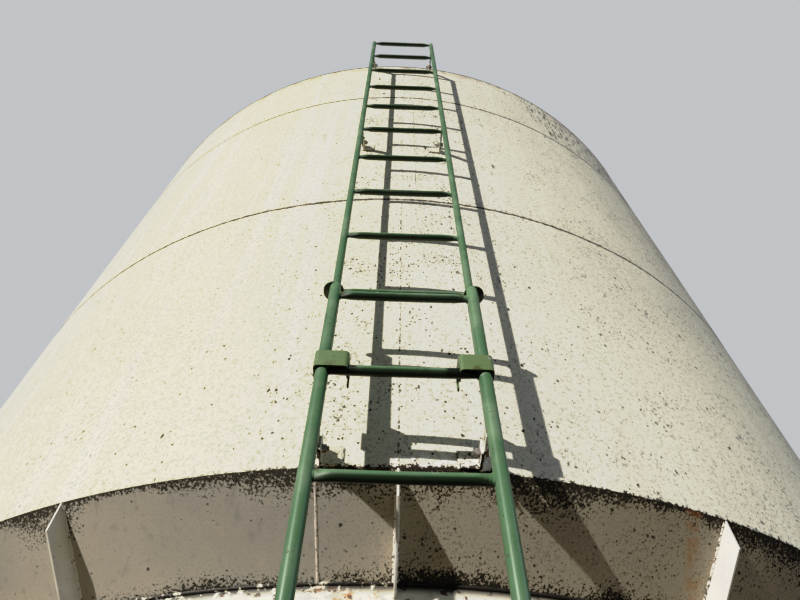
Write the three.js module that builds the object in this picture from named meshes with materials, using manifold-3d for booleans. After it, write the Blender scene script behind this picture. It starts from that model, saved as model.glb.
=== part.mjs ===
// Hopper bottom grain bin: a smooth welded steel bin on a cone hopper with eight legs, and a tube ladder
// up its front. Millimetres, +Z up. The ladder faces -Y, and an azimuth is turned from -Y towards +X.
// The origin is at ground level, in the middle of the bin's footprint with its ladder.

import * as THREE from 'three';
import { mergeVertices } from 'three/addons/utils/BufferGeometryUtils.js';
import Module from 'manifold-3d';

const wasm = await Module();
wasm.setup();

const rad = THREE.MathUtils.degToRad;

// The bin: three welded courses of sheet, a hopper cone below them and a roof cone above.
const binRadius = 2286;
const facets = 64;
const courseHeights = { lower: 1524, middle: 1524, upper: 762 };
const seamAzimuths = { lower: 0, middle: 1.7, upper: 0.3 };
const wallBottom = 2629;
const sheet = 5;
const gap = 0.3;
const hopperSlope = rad(40);
const hopperSeamAzimuth = -5.2;
const outletRadius = 230;
const roofSlope = rad(30);
const roofSheet = 4;
const fillRadius = 300;

// The carrying steel: ribs on the cone, an angle ring round it, legs and an angle ring on the ground.
const ribCount = 16;
const ribDepth = 63.5;
const ribThickness = 6.35;
const ringRadius = 2073;
const angleLeg = 102;
const angleThickness = 8;
const legCount = 8;
const legWidth = 102;

// The ladder: a fixed upper ladder, and a lower one of thicker tube hung in front of it.
const railSpacing = 405;
const standoffAtFoot = 163;
const standoffAtTop = 189;
const middleAtFoot = 6;
const middleAtTop = -5;
const upperRailRadius = 12.7;
const upperRungs = 11;
const upperRungPitch = 351;
const lowestUpperRung = 2795;
const upperRailBottom = 2600;
const lowerRailSpacing = 401;
const lowerRailRadius = 16.7;
const lowerRungRadius = 13.35;
const lowerRungs = 9;
const lowerRungPitch = 325;
const highestLowerRung = 3085;
const lowerRailBottom = 360;
const lowerRailTop = 3132;
const ladderSpacing = 31.3;
const clipHeights = { low: 2659, middle: 4770, top: 6350 };
const clipWidth = 57;
const clipThickness = 6;

// Levels and distances that follow from the sizes above.
const eave = wallBottom + courseHeights.lower + courseHeights.middle + courseHeights.upper;
const railX = railSpacing / 2;
const lowerRailX = lowerRailSpacing / 2;
const highestUpperRung = lowestUpperRung + (upperRungs - 1) * upperRungPitch;

// The upper ladder leans out, and slightly to the left, in a straight line from its foot to its highest rung.
const upLadder = (z) => (z - upperRailBottom) / (highestUpperRung - upperRailBottom);
const railYAt = (z) => -(binRadius + standoffAtFoot + upLadder(z) * (standoffAtTop - standoffAtFoot));
const middleAt = (z) => middleAtFoot + upLadder(z) * (middleAtTop - middleAtFoot);
const lowerRailY = railYAt(lowerRailTop) - ladderSpacing;

const paint = (color, roughness, metalness = 0) =>
  new THREE.MeshStandardMaterial({ color, roughness, metalness });
const creamPaint = paint(0xe4dfcf, 0.62);
const hopperPaint = paint(0xb9b2a0, 0.7);
const greenPaint = paint(0x4f8056, 0.5);
const galvanised = paint(0x9aa0a2, 0.45, 0.8);

const bin = new THREE.Group();

function addMesh(name, geometry, material) {
  const mesh = new THREE.Mesh(geometry, material);
  mesh.name = name;
  bin.add(mesh);
  return mesh;
}

// Solids: a closed geometry as a manifold, and back.

function solid(geometry) {
  const bare = geometry.clone();
  bare.deleteAttribute('normal');
  bare.deleteAttribute('uv');
  const merged = mergeVertices(bare, 1e-3);
  return new wasm.Manifold(new wasm.Mesh({
    numProp: 3,
    vertProperties: new Float32Array(merged.attributes.position.array),
    triVerts: new Uint32Array(merged.index.array),
  }));
}

function fromSolid(body) {
  const mesh = body.getMesh();
  const geometry = new THREE.BufferGeometry();
  geometry.setAttribute('position', new THREE.BufferAttribute(mesh.vertProperties, 3));
  geometry.setIndex(new THREE.BufferAttribute(mesh.triVerts, 1));
  geometry.computeVertexNormals();
  return geometry;
}

function fuse(geometries) {
  return geometries.map(solid).reduce((whole, next) => whole.add(next));
}

function block(x0, x1, y0, y1, z0, z1) {
  const box = new THREE.BoxGeometry(Math.abs(x1 - x0), Math.abs(y1 - y0), Math.abs(z1 - z0));
  return box.translate((x0 + x1) / 2, (y0 + y1) / 2, (z0 + z1) / 2);
}

function verticalTube(radius, x, y, z0, z1, sides = 12) {
  const tube = new THREE.CylinderGeometry(radius, radius, z1 - z0, sides).rotateX(Math.PI / 2);
  return tube.translate(x, y, (z0 + z1) / 2);
}

function crossTube(radius, x0, x1, y, z, sides = 10) {
  const tube = new THREE.CylinderGeometry(radius, radius, x1 - x0, sides).rotateZ(Math.PI / 2);
  return tube.translate((x0 + x1) / 2, y, z);
}

// Round sheets: a closed profile of [radius, height] points, counterclockwise, turned about the axis.
// The facets stand so that each rib meets the middle of one.

function revolve(profile) {
  const points = [...profile, profile[0]].map(([r, z]) => new THREE.Vector2(r, z));
  return new THREE.LatheGeometry(points, facets, Math.PI / facets).rotateX(Math.PI / 2);
}

const atFacet = (radius) => radius * Math.cos(Math.PI / facets);

function addHalves(name, profile, seamAzimuth, material) {
  const round = solid(revolve(profile));
  const reach = 2 * binRadius;
  for (const [side, sign] of [['left', -1], ['right', 1]]) {
    const keep = block(sign * gap / 2, sign * reach, -reach, reach, 0, 2 * eave);
    const half = round.intersect(solid(keep.rotateZ(rad(seamAzimuth))));
    addMesh(`${name}_${side}`, fromSolid(half), material);
  }
}

// Wall: each course is two rolled sheets with their seams near the ladder and at the back.

function addWall() {
  let bottom = wallBottom;
  for (const [course, height] of Object.entries(courseHeights)) {
    const z0 = bottom + gap;
    const z1 = bottom + height;
    const profile = [[binRadius - sheet, z0], [binRadius, z0], [binRadius, z1], [binRadius - sheet, z1]];
    addHalves(`wall_${course}_course`, profile, seamAzimuths[course], creamPaint);
    bottom += height;
  }
}

// Hopper: a cone from the wall's foot down to the outlet, with ribs on edge and a ring that ties them.

const hopperDrop = (radius) => (binRadius - radius) * Math.tan(hopperSlope);
const outletHeight = wallBottom - hopperDrop(outletRadius);

function addHopper() {
  const rim = sheet / Math.sin(hopperSlope);
  const throat = sheet / Math.cos(hopperSlope);
  const profile = [
    [outletRadius, outletHeight],
    [binRadius, wallBottom],
    [binRadius - rim, wallBottom],
    [outletRadius, outletHeight + throat],
  ];
  addHalves('hopper_cone', profile, hopperSeamAzimuth, hopperPaint);
}

// Height of the cone's underside, less the gap, at a distance out from the axis along a facet's middle.
const underCone = (distance) => wallBottom - gap - hopperDrop(distance / Math.cos(Math.PI / facets));

function addRibs() {
  const outer = atFacet(binRadius);
  const inner = atFacet(ringRadius) + gap;
  const endHeight = ribDepth / Math.cos(hopperSlope);
  const outline = new THREE.Shape([
    new THREE.Vector2(inner, underCone(inner) - endHeight),
    new THREE.Vector2(outer, underCone(outer) - endHeight),
    new THREE.Vector2(outer, underCone(outer)),
    new THREE.Vector2(inner, underCone(inner)),
  ]);
  const plate = new THREE.ExtrudeGeometry(outline, { depth: ribThickness, bevelEnabled: false });
  plate.translate(0, 0, -ribThickness / 2).rotateX(Math.PI / 2);
  for (let i = 0; i < ribCount; i += 1) {
    const rib = addMesh(`hopper_rib_${String(i + 1).padStart(2, '0')}`, plate, hopperPaint);
    rib.rotation.z = rad(360 * i / ribCount - 90);
  }
}

const ringTop = wallBottom - gap - hopperDrop(ringRadius);
const ringBottom = ringTop - angleLeg;

function addHopperRing() {
  const inner = ringRadius - angleThickness;
  const profile = [
    [ringRadius - angleLeg, ringBottom],
    [ringRadius, ringBottom],
    [ringRadius, ringTop],
    [inner, wallBottom - gap - hopperDrop(inner)],
    [inner, ringBottom + angleThickness],
    [ringRadius - angleLeg, ringBottom + angleThickness],
  ];
  addMesh('hopper_ring', revolve(profile), hopperPaint);
}

function addLegs() {
  const outer = atFacet(ringRadius);
  const foot = angleThickness + gap;
  for (let i = 0; i < legCount; i += 1) {
    const leg = block(outer - legWidth, outer, -legWidth / 2, legWidth / 2, foot, ringBottom - gap);
    const mesh = addMesh(`leg_${i + 1}`, leg, hopperPaint);
    mesh.rotation.z = rad(360 * (i + 0.5) / legCount - 90);
  }
}

function addBaseRing() {
  const inner = ringRadius + gap;
  const outer = inner + angleThickness;
  const profile = [
    [outer - angleLeg - angleThickness, 0],
    [outer, 0],
    [outer, angleLeg],
    [inner, angleLeg],
    [inner, angleThickness],
    [outer - angleLeg - angleThickness, angleThickness],
  ];
  addMesh('base_ring', revolve(profile), hopperPaint);
}

// Outlet: a flanged spout in the cone's mouth, and a closed slide gate bolted under it.

function addOutlet() {
  const spoutOuter = outletRadius - gap;
  const spoutWall = 6;
  const spoutDrop = 100;
  const flangeRadius = 285;
  const spoutBottom = outletHeight - spoutDrop;
  const spout = [
    [spoutOuter - spoutWall, spoutBottom],
    [flangeRadius, spoutBottom],
    [flangeRadius, spoutBottom + spoutWall],
    [spoutOuter, spoutBottom + spoutWall],
    [spoutOuter, outletHeight + spoutWall],
    [spoutOuter - spoutWall, outletHeight + spoutWall],
  ];
  addMesh('outlet_spout', revolve(spout), galvanised);

  const frameHalf = 290;
  const frameDepth = 40;
  const mouthHalf = 205;
  const slotHalf = 230;
  const slotDepth = 8;
  const bladeThickness = 5;
  const frameTop = spoutBottom - gap;
  const frameBottom = frameTop - frameDepth;
  const slotTop = frameTop - (frameDepth - slotDepth) / 2;
  const whole = solid(block(-frameHalf, frameHalf, -frameHalf, frameHalf, frameBottom, frameTop));
  const mouth = block(-mouthHalf, mouthHalf, -mouthHalf, mouthHalf, frameBottom - 1, frameTop + 1);
  const slot = block(-slotHalf, slotHalf, -frameHalf - 1, slotHalf, slotTop - slotDepth, slotTop);
  const frame = whole.subtract(solid(mouth)).subtract(solid(slot));
  addMesh('outlet_gate_frame', fromSolid(frame), galvanised);

  const bladeBottom = slotTop - slotDepth + gap;
  const bladeHalf = slotHalf - 2;
  const gripReach = 60;
  const gripHalf = 90;
  const bladeFront = -frameHalf - gripReach;
  const blade = fuse([
    block(-bladeHalf, bladeHalf, bladeFront, bladeHalf, bladeBottom, bladeBottom + bladeThickness),
    block(-gripHalf, gripHalf, bladeFront, bladeFront + bladeThickness, bladeBottom - 40, bladeBottom + 1),
  ]);
  addMesh('outlet_gate_blade', fromSolid(blade), galvanised);
}

// Roof: a cone of two welded halves, with a round fill neck and its lid at the peak.

function addRoof() {
  const rise = (radius) => (binRadius - radius) * Math.tan(roofSlope);
  const roofFoot = eave + gap;
  const neckTop = roofFoot + rise(fillRadius) + 140;
  const profile = [
    [binRadius - roofSheet / Math.sin(roofSlope), roofFoot],
    [binRadius, roofFoot],
    [fillRadius, roofFoot + rise(fillRadius)],
    [fillRadius, roofFoot + rise(fillRadius) - roofSheet / Math.cos(roofSlope)],
  ];
  addHalves('roof', profile, 0, creamPaint);

  const neckOuter = fillRadius - gap;
  const neckWall = 4;
  const neckBottom = roofFoot + rise(fillRadius) - 30;
  const neck = [
    [neckOuter - neckWall, neckBottom],
    [neckOuter, neckBottom],
    [neckOuter, neckTop],
    [neckOuter - neckWall, neckTop],
  ];
  addMesh('fill_neck', revolve(neck), creamPaint);

  const lidSheet = 4;
  const lidInner = neckOuter + 4;
  const lidSkirt = 60;
  const lidCrown = 70;
  const lidBottom = neckTop + gap;
  const lid = new THREE.LatheGeometry([
    new THREE.Vector2(0, lidBottom),
    new THREE.Vector2(lidInner, lidBottom),
    new THREE.Vector2(lidInner, lidBottom - lidSkirt),
    new THREE.Vector2(lidInner + lidSheet, lidBottom - lidSkirt),
    new THREE.Vector2(lidInner + lidSheet, lidBottom + lidSheet),
    new THREE.Vector2(0, lidBottom + lidSheet + lidCrown),
  ], facets / 2).rotateX(Math.PI / 2);
  addMesh('fill_lid', lid, creamPaint);
}

// Ladder. Each clip is an angle square to the ladder, whose inner end meets the wall facet behind a rail,
// and a strap bolted to it runs to the rail.

function ladderClip(side, height, strapRise) {
  const facetAngle = 2 * Math.PI / facets;
  const along = middleAt(height) + side * railX;
  const innerEnd = along - side * clipWidth;
  const out = -railYAt(height + strapRise);
  const wallAtEnd = (atFacet(binRadius) - Math.abs(innerEnd) * Math.sin(facetAngle)) / Math.cos(facetAngle);
  const wall = wallAtEnd + gap;
  const strapHeight = 38;
  const strapFoot = wall + 12;
  const strapBite = 0.5;
  const boltRadius = 7;
  const boltReach = 18;
  const boltAt = wall + 32;
  const z0 = height - clipWidth / 2;
  const z1 = height + clipWidth / 2;
  const strapLength = Math.hypot(out - strapFoot, strapRise);
  const strap = new THREE.BoxGeometry(clipThickness, strapLength, strapHeight);
  strap.rotateX(-Math.atan2(strapRise, out - strapFoot));
  strap.translate(
    along + side * (clipThickness / 2 - strapBite),
    -(strapFoot + out) / 2,
    height + strapRise / 2,
  );
  const clip = fuse([
    block(along, innerEnd, -wall, -(wall + clipThickness), z0, z1),
    block(along, along - side * clipThickness, -wall, -(wall + clipWidth), z0, z1),
    strap,
    crossTube(boltRadius, along - boltReach, along + boltReach, -boltAt, height, 8),
  ]);
  return fromSolid(clip);
}

function leaningRail(side) {
  const top = highestUpperRung + 15;
  const pointAt = (z) => new THREE.Vector3(middleAt(z) + side * railX, railYAt(z), z);
  const route = new THREE.LineCurve3(pointAt(upperRailBottom), pointAt(top));
  const sides = 12;
  const section = new THREE.Shape();
  for (let i = 0; i < sides; i += 1) {
    const angle = 2 * Math.PI * i / sides;
    const point = [upperRailRadius * Math.cos(angle), upperRailRadius * Math.sin(angle)];
    if (i === 0) {
      section.moveTo(...point);
    } else {
      section.lineTo(...point);
    }
  }
  section.closePath();
  return new THREE.ExtrudeGeometry(section, { steps: 1, extrudePath: route });
}

function addUpperLadder() {
  const tubes = [leaningRail(-1), leaningRail(1)];
  for (let i = 0; i < upperRungs; i += 1) {
    const z = lowestUpperRung + i * upperRungPitch;
    const middle = middleAt(z);
    tubes.push(crossTube(upperRailRadius, middle - railX, middle + railX, railYAt(z), z));
  }
  let ladder = fuse(tubes);
  for (const [place, height] of Object.entries(clipHeights)) {
    const strapRise = place === 'top' ? highestUpperRung - height : 0;
    for (const side of [-1, 1]) {
      ladder = ladder.add(solid(ladderClip(side, height, strapRise)));
    }
  }
  addMesh('upper_ladder', fromSolid(ladder), greenPaint);
}

// The lower ladder: its rails end under round-ended tie plates that go round the upper rails.

function addLowerLadder() {
  const tieThickness = 6;
  const tieRadius = 30;
  const tieOutward = 7;
  const tieLength = 8;
  const tieFront = lowerRailY - lowerRailRadius + tieRadius;
  const tieBack = tieFront + tieLength;
  const z0 = lowerRailTop - tieThickness;
  const tubes = [];
  for (const side of [-1, 1]) {
    const x = side * (lowerRailX + tieOutward);
    tubes.push(verticalTube(lowerRailRadius, side * lowerRailX, lowerRailY, lowerRailBottom, lowerRailTop));
    tubes.push(verticalTube(tieRadius, x, tieFront, z0, lowerRailTop, 20));
    tubes.push(verticalTube(tieRadius, x, tieBack, z0, lowerRailTop, 20));
    tubes.push(block(x - tieRadius, x + tieRadius, tieFront, tieBack, z0, lowerRailTop));
  }
  for (let i = 0; i < lowerRungs; i += 1) {
    const z = highestLowerRung - i * lowerRungPitch;
    tubes.push(crossTube(lowerRungRadius, -lowerRailX, lowerRailX, lowerRailY, z));
  }
  let ladder = fuse(tubes);
  for (const side of [-1, 1]) {
    const x = middleAt(lowerRailTop) + side * railX - middleAtFoot;
    const hole = verticalTube(upperRailRadius + 2 * gap, x, railYAt(lowerRailTop), 0, eave);
    ladder = ladder.subtract(solid(hole));
  }
  addMesh('lower_ladder', fromSolid(ladder), greenPaint).position.x = middleAtFoot;
}

// Hooks: a plate bent round both rails on each side. Its inner flange is cut to a hook that hangs over the
// lowest upper rung, and is notched for the lower ladder's rung.

function addHooks() {
  const plate = 5;
  const inner = 136.5;
  const outer = lowerRailX + lowerRailRadius + gap + plate;
  const front = lowerRailY - lowerRailRadius - gap - plate;
  const back = front + 67;
  const bottom = 2750;
  const top = 2808;
  const hookLeg = 13;
  const hookBottom = 2755;
  const hookTop = 2822;
  const slopeEnd = front + 35;
  const clear = 2 * gap;
  const rungRoom = upperRailRadius + clear;
  const upperRungY = railYAt(lowestUpperRung);
  const hookBack = upperRungY + rungRoom + hookLeg;
  const flangeOutline = new THREE.Shape([
    new THREE.Vector2(front, bottom),
    new THREE.Vector2(upperRungY, bottom),
    new THREE.Vector2(upperRungY, hookBottom),
    new THREE.Vector2(hookBack, hookBottom),
    new THREE.Vector2(hookBack, hookTop),
    new THREE.Vector2(slopeEnd, hookTop),
    new THREE.Vector2(front, top),
  ]);
  const flange = new THREE.ExtrudeGeometry(flangeOutline, { depth: plate, bevelEnabled: false });
  flange.rotateX(Math.PI / 2).rotateZ(Math.PI / 2).translate(inner, 0, 0);
  const hook = fuse([
    block(inner, outer, front, front + plate, bottom, top),
    flange,
    block(outer - plate, outer, front, back, bottom, top),
  ]);
  const lowRung = highestLowerRung - lowerRungPitch;
  const cuts = [
    crossTube(lowerRungRadius + clear, 0, outer - 10, lowerRailY, lowRung),
    crossTube(rungRoom, 0, outer - 10, upperRungY, lowestUpperRung),
    block(0, outer - 10, upperRungY - rungRoom, upperRungY + rungRoom, bottom - 1, lowestUpperRung),
  ];
  const shape = fromSolid(cuts.map(solid).reduce((left, cut) => left.subtract(cut), hook));
  addMesh('ladder_hook_right', shape, greenPaint).position.x = middleAtFoot;
  const leftHook = addMesh('ladder_hook_left', shape, greenPaint);
  leftHook.scale.x = -1;
  leftHook.position.x = middleAtFoot;
  return -front;
}

addWall();
addHopper();
addRibs();
addHopperRing();
addLegs();
addBaseRing();
addOutlet();
addRoof();
addUpperLadder();
addLowerLadder();
const frontReach = addHooks();

// The bin's axis stands behind the origin by half of what the ladder adds in front.
bin.position.y = (frontReach - atFacet(binRadius)) / 2;

const group = new THREE.Group();
group.add(bin);

export default group;
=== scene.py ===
# Hopper bottom grain bin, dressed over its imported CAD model. Metres, +Z up, the ladder towards -Y.
# Azimuths are turned from -Y towards +X about the bin's axis.
import functools
import math

import bpy
import numpy as np
from mathutils import Matrix, Vector


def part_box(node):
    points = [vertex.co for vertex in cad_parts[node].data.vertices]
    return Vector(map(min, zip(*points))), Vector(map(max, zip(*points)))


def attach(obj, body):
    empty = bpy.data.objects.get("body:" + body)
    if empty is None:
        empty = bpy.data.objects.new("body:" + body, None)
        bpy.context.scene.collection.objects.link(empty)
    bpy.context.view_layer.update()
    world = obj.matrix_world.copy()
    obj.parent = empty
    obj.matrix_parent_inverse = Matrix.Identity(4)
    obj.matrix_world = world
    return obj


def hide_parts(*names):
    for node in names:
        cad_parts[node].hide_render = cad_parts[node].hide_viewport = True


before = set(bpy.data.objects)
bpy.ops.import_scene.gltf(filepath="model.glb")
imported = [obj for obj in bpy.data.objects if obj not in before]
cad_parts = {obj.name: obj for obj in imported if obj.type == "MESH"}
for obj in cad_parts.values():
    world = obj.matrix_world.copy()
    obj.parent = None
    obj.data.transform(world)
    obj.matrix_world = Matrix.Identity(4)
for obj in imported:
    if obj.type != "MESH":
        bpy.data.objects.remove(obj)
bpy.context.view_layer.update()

# Camera: the photograph was taken from the ground, about a metre before the ladder's foot and looking
# steeply up it. Its place, angles and lens were solved from the wall's seams, its edges and the ladder.
axis_y = (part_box("base_ring")[0].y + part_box("base_ring")[1].y) / 2
camera_distance = 3.498
camera_azimuth = math.radians(-0.515)
camera_height = 1.6
camera_heading = math.radians(1.474)
camera_pitch = math.radians(55.389)
camera_roll = math.radians(0.601)

forward = Vector((
    math.sin(camera_heading) * math.cos(camera_pitch),
    math.cos(camera_heading) * math.cos(camera_pitch),
    math.sin(camera_pitch),
))
level_right = Vector((math.cos(camera_heading), -math.sin(camera_heading), 0))
level_up = level_right.cross(forward)
right = math.cos(camera_roll) * level_right + math.sin(camera_roll) * level_up
up = math.cos(camera_roll) * level_up - math.sin(camera_roll) * level_right
camera_place = Vector((
    camera_distance * math.sin(camera_azimuth),
    axis_y - camera_distance * math.cos(camera_azimuth),
    camera_height,
))
camera_data = bpy.data.cameras.new("camera")
camera_data.lens = 27.97
camera_data.sensor_width = 36
camera_data.clip_start = 0.05
camera = bpy.data.objects.new("camera", camera_data)
turned = Matrix((right, up, -forward)).transposed().to_4x4()
camera.matrix_world = Matrix.Translation(camera_place) @ turned
bpy.context.scene.collection.objects.link(camera)
bpy.context.scene.camera = camera

# Light and floor: a key light from the left front, as low as the photograph's, a broad fill from the right,
# a pale surround and a plain pale floor. The view's curve has the photograph's contrast: deep shade, and
# lit paint held under white.
key_azimuth = math.radians(-37.5)
key_height = math.radians(18.5)
fill_azimuth = math.radians(60)
fill_height = math.radians(16)
contrast = (
    (0.02, 0.01), (0.045, 0.034), (0.07, 0.062), (0.12, 0.12), (0.25, 0.25), (0.4, 0.45), (0.5, 0.59),
    (0.58, 0.665), (0.66, 0.705), (0.8, 0.75),
)
view = bpy.context.scene.view_settings
view.view_transform = "Standard"
view.use_curve_mapping = True
view.curve_mapping.extend = "HORIZONTAL"
tone = view.curve_mapping.curves[3]
tone.points[1].location = (1, 0.87)
for shade_in, shade_out in contrast:
    tone.points.new(shade_in, shade_out)
view.curve_mapping.update()


def towards(azimuth, height):
    """Unit vector that points outwards at an azimuth and up at an angle above the level."""
    return Vector((
        math.sin(azimuth) * math.cos(height),
        -math.cos(azimuth) * math.cos(height),
        math.sin(height),
    ))


key = bpy.data.lights.new("key_light", "SUN")
key.energy = 3.9
key.angle = math.radians(0.9)
key.color = (1, 0.965, 0.9)
key_lamp = bpy.data.objects.new("key_light", key)
key_lamp.rotation_euler = towards(key_azimuth, key_height).to_track_quat("Z", "Y").to_euler()
bpy.context.scene.collection.objects.link(key_lamp)

fill = bpy.data.lights.new("fill_light", "AREA")
fill.shape = "DISK"
fill.size = 8
fill.energy = 230
fill.color = (0.82, 0.93, 1.1)
fill_lamp = bpy.data.objects.new("fill_light", fill)
fill_side = towards(fill_azimuth, fill_height)
fill_lamp.location = Vector((0, axis_y, 3)) + 14 * fill_side
fill_lamp.rotation_euler = fill_side.to_track_quat("Z", "Y").to_euler()
bpy.context.scene.collection.objects.link(fill_lamp)


def add_node(tree, kind, inputs=None, **settings):
    """One node of a shader tree: settings are its properties, inputs the values or links of its sockets."""
    made = tree.nodes.new("ShaderNode" + kind)
    for key_word, value in settings.items():
        setattr(made, key_word, value)
    for socket, value in (inputs or {}).items():
        if isinstance(value, bpy.types.NodeSocket):
            tree.links.new(value, made.inputs[socket])
        else:
            made.inputs[socket].default_value = value
    return made


world = bpy.data.worlds.new("surround")
world.use_nodes = True
bpy.context.scene.world = world
surround = world.node_tree
surround.nodes.clear()
seen = add_node(surround, "LightPath").outputs["Is Camera Ray"]
soft_light = add_node(surround, "Background", {"Color": (0.77, 0.88, 1.12, 1), "Strength": 0.135}).outputs[0]
backdrop = add_node(surround, "Background", {"Color": (0.88, 0.9, 0.93, 1), "Strength": 0.52}).outputs[0]
seen_or_lit = add_node(surround, "MixShader", {"Fac": seen, 1: soft_light, 2: backdrop})
add_node(surround, "OutputWorld", {"Surface": seen_or_lit.outputs[0]})


def new_material(name, **fixed):
    """Material with one Principled shader, fixed values set on its own sockets, and Object coordinates."""
    material = bpy.data.materials.new(name)
    material.use_nodes = True
    tree = material.node_tree
    tree.nodes.clear()
    shader = add_node(tree, "BsdfPrincipled")
    for socket, value in fixed.items():
        shader.inputs[socket.replace("_", " ")].default_value = value
    add_node(tree, "OutputMaterial", {"Surface": shader.outputs[0]})
    place = add_node(tree, "TexCoord").outputs["Object"]
    return material, shader, place


floor_reach = 60
floor_mesh = bpy.data.meshes.new("floor")
floor_corners = floor_reach * np.array([(-1, -1), (1, -1), (1, 1), (-1, 1)])
floor_mesh.from_pydata([(x, y, -0.001) for x, y in floor_corners.tolist()], [], [(0, 1, 2, 3)])
floor = bpy.data.objects.new("floor", floor_mesh)
bpy.context.scene.collection.objects.link(floor)
floor_material, shader, place = new_material("pale_floor", Base_Color=(0.6, 0.58, 0.54, 1), Roughness=0.9)
tree = floor_material.node_tree
dim_floor = add_node(tree, "BsdfDiffuse", {"Color": (0.2, 0.18, 0.15, 1)}).outputs[0]
directly_seen = add_node(tree, "LightPath").outputs["Is Camera Ray"]
floor_looks = add_node(tree, "MixShader", {0: directly_seen, 1: dim_floor, 2: shader.outputs[0]}).outputs[0]
tree.links.new(floor_looks, tree.nodes["Material Output"].inputs["Surface"])
floor_mesh.materials.append(floor_material)

# Wall: three courses of rolled steel sheet, each of two half-round sheets butt welded into one smooth
# shell, and sprayed cream. Mould spots, rain streaks and a little rust have come on the paint.
bin_radius = 2.286
sheet = 0.005
fit_gap = 0.0003
wall_foot = 2.629
course_tops = {"lower": 4.153, "middle": 5.677, "upper": 6.439}
seam_azimuths = {"lower": 0.0, "middle": 1.7, "upper": 0.3}


def outward(points, faces):
    """The faces of a closed shell turned to face out: its volume is a sixth of the sum, over triangles fanned
    from each face's first corner, of that corner dot the cross product of the other two; if that is
    negative, every face is reversed."""
    volume = 0
    for corners in {len(face) for face in faces}:
        p = points[np.array([face for face in faces if len(face) == corners])]
        crossed = np.cross(p[:, 1:-1], p[:, 2:])
        volume += (p[:, :1] * crossed).sum()
    return points, faces if volume > 0 else [face[::-1] for face in faces]


def skin(rings, loop=False):
    """Closed shell through rings of points, rings[station, around]: a band of quads joins each ring to the
    next. The last ring joins the first if loop is true; otherwise one face closes each end."""
    number = np.arange(rings.shape[0] * rings.shape[1]).reshape(rings.shape[:2])
    ahead = np.roll(number, -1, axis=0)
    if not loop:
        number, ahead = number[:-1], ahead[:-1]
    quads = np.stack((number, np.roll(number, -1, 1), np.roll(ahead, -1, 1), ahead), axis=-1)
    faces = quads.reshape(-1, 4).tolist()
    if not loop:
        faces += [number[0, ::-1].tolist(), ahead[-1].tolist()]
    return outward(rings.reshape(-1, 3), faces)


def put_piece(name, shells, slot, material, *nodes, sharp=35):
    """Piece made of closed shells, each a pair of points and faces, in one mesh that is smooth but for edges
    sharper than an angle. It rides on the bin and stands for the CAD nodes that are named."""
    points = np.concatenate([shell[0] for shell in shells])
    starts = np.cumsum([0] + [len(shell[0]) for shell in shells])
    faces = [[start + n for n in face] for start, shell in zip(starts.tolist(), shells) for face in shell[1]]
    mesh = bpy.data.meshes.new(name)
    mesh.from_pydata(points.tolist(), [], faces)
    mesh.polygons.foreach_set("use_smooth", np.ones(len(faces), bool))
    mesh.set_sharp_from_angle(angle=math.radians(sharp))
    mesh.materials.append(material)
    piece = bpy.data.objects.new(name, mesh)
    bpy.context.scene.collection.objects.link(piece)
    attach(piece, "root")
    if nodes:
        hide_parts(*nodes)
    return piece


def carried_round(outline, azimuths, swell=None, loop=False):
    """Shell of a closed outline of (radius, height) points carried round the bin's axis: at azimuth a the
    point stands at (r sin a, axis - r cos a, z), where swell(a, z) may add to r."""
    a = np.radians(azimuths)[:, None]
    r, z = np.asarray(outline, float).T
    r = r + (0 if swell is None else swell(a, z)) + 0 * a
    z = z + 0 * a
    return skin(np.stack((r * np.sin(a), axis_y - r * np.cos(a), z), axis=-1), loop)


def sheet_outline(r0, z0, r1, z1, thickness, steps):
    """Outline of a sheet between two points of its outer face: the outer face up, then the inner face down,
    a thickness behind it at right angles."""
    t = np.linspace(0, 1, steps + 1)[:, None]
    outer = (1 - t) * np.array((r0, z0)) + t * np.array((r1, z1))
    run = np.array([r1 - r0, z1 - z0]) / math.hypot(r1 - r0, z1 - z0)
    inner = outer[::-1] + thickness * np.array([-run[1], run[0]])
    return np.concatenate((outer, inner))


def wall_swell(a, z):
    """Slow ripples of about a millimetre, the sum of three products of sines in azimuth and height, less a
    shallow trough of 2 mm where a girth weld has drawn the sheets in."""
    ripple = 0.0007 * np.sin(5 * a + 1.3) * np.sin(2.1 * z + 0.4)
    ripple = ripple + 0.0005 * np.sin(11 * a + 0.7) * np.sin(3.7 * z)
    ripple = ripple + 0.0003 * np.sin(23 * a + 2.1) * np.sin(6.1 * z + 1)
    for seam in (course_tops["lower"], course_tops["middle"]):
        ripple = ripple - 0.002 * np.exp(-((z - seam) / 0.05) ** 2)
    return ripple


def joined(kind, inputs, **settings):
    """Node in the tree that its first linked input belongs to."""
    linked = next(value for value in inputs.values() if isinstance(value, bpy.types.NodeSocket))
    return add_node(linked.id_data, kind, inputs, **settings)


def reckon(operation, *values):
    """Result of one Math node on values or links."""
    return joined("Math", dict(enumerate(values)), operation=operation).outputs[0]


times = functools.partial(reckon, "MULTIPLY")
times_plus = functools.partial(reckon, "MULTIPLY_ADD")
minus = functools.partial(reckon, "SUBTRACT")
larger = functools.partial(reckon, "MAXIMUM")
unsigned = functools.partial(reckon, "ABSOLUTE")


def between(value, low, high):
    """0 at low, 1 at high and a smooth step between them."""
    inputs = {"Value": value, "From Min": low, "From Max": high}
    return joined("MapRange", inputs, interpolation_type="SMOOTHSTEP").outputs[0]


def lay_over(mask, under, over):
    """Colour under, with colour over laid on it where the mask is 1."""
    return joined("Mix", {0: mask, 6: under, 7: over}, data_type="RGBA").outputs[2]


def noise(place, scale, detail=2.0, roughness=0.5, distortion=0.0):
    """Noise value from 0 to 1 at a place, its patches about one over scale metres wide."""
    inputs = {"Vector": place, "Scale": scale, "Detail": detail}
    inputs.update({"Roughness": roughness, "Distortion": distortion})
    return joined("TexNoise", inputs).outputs[0]


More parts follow.
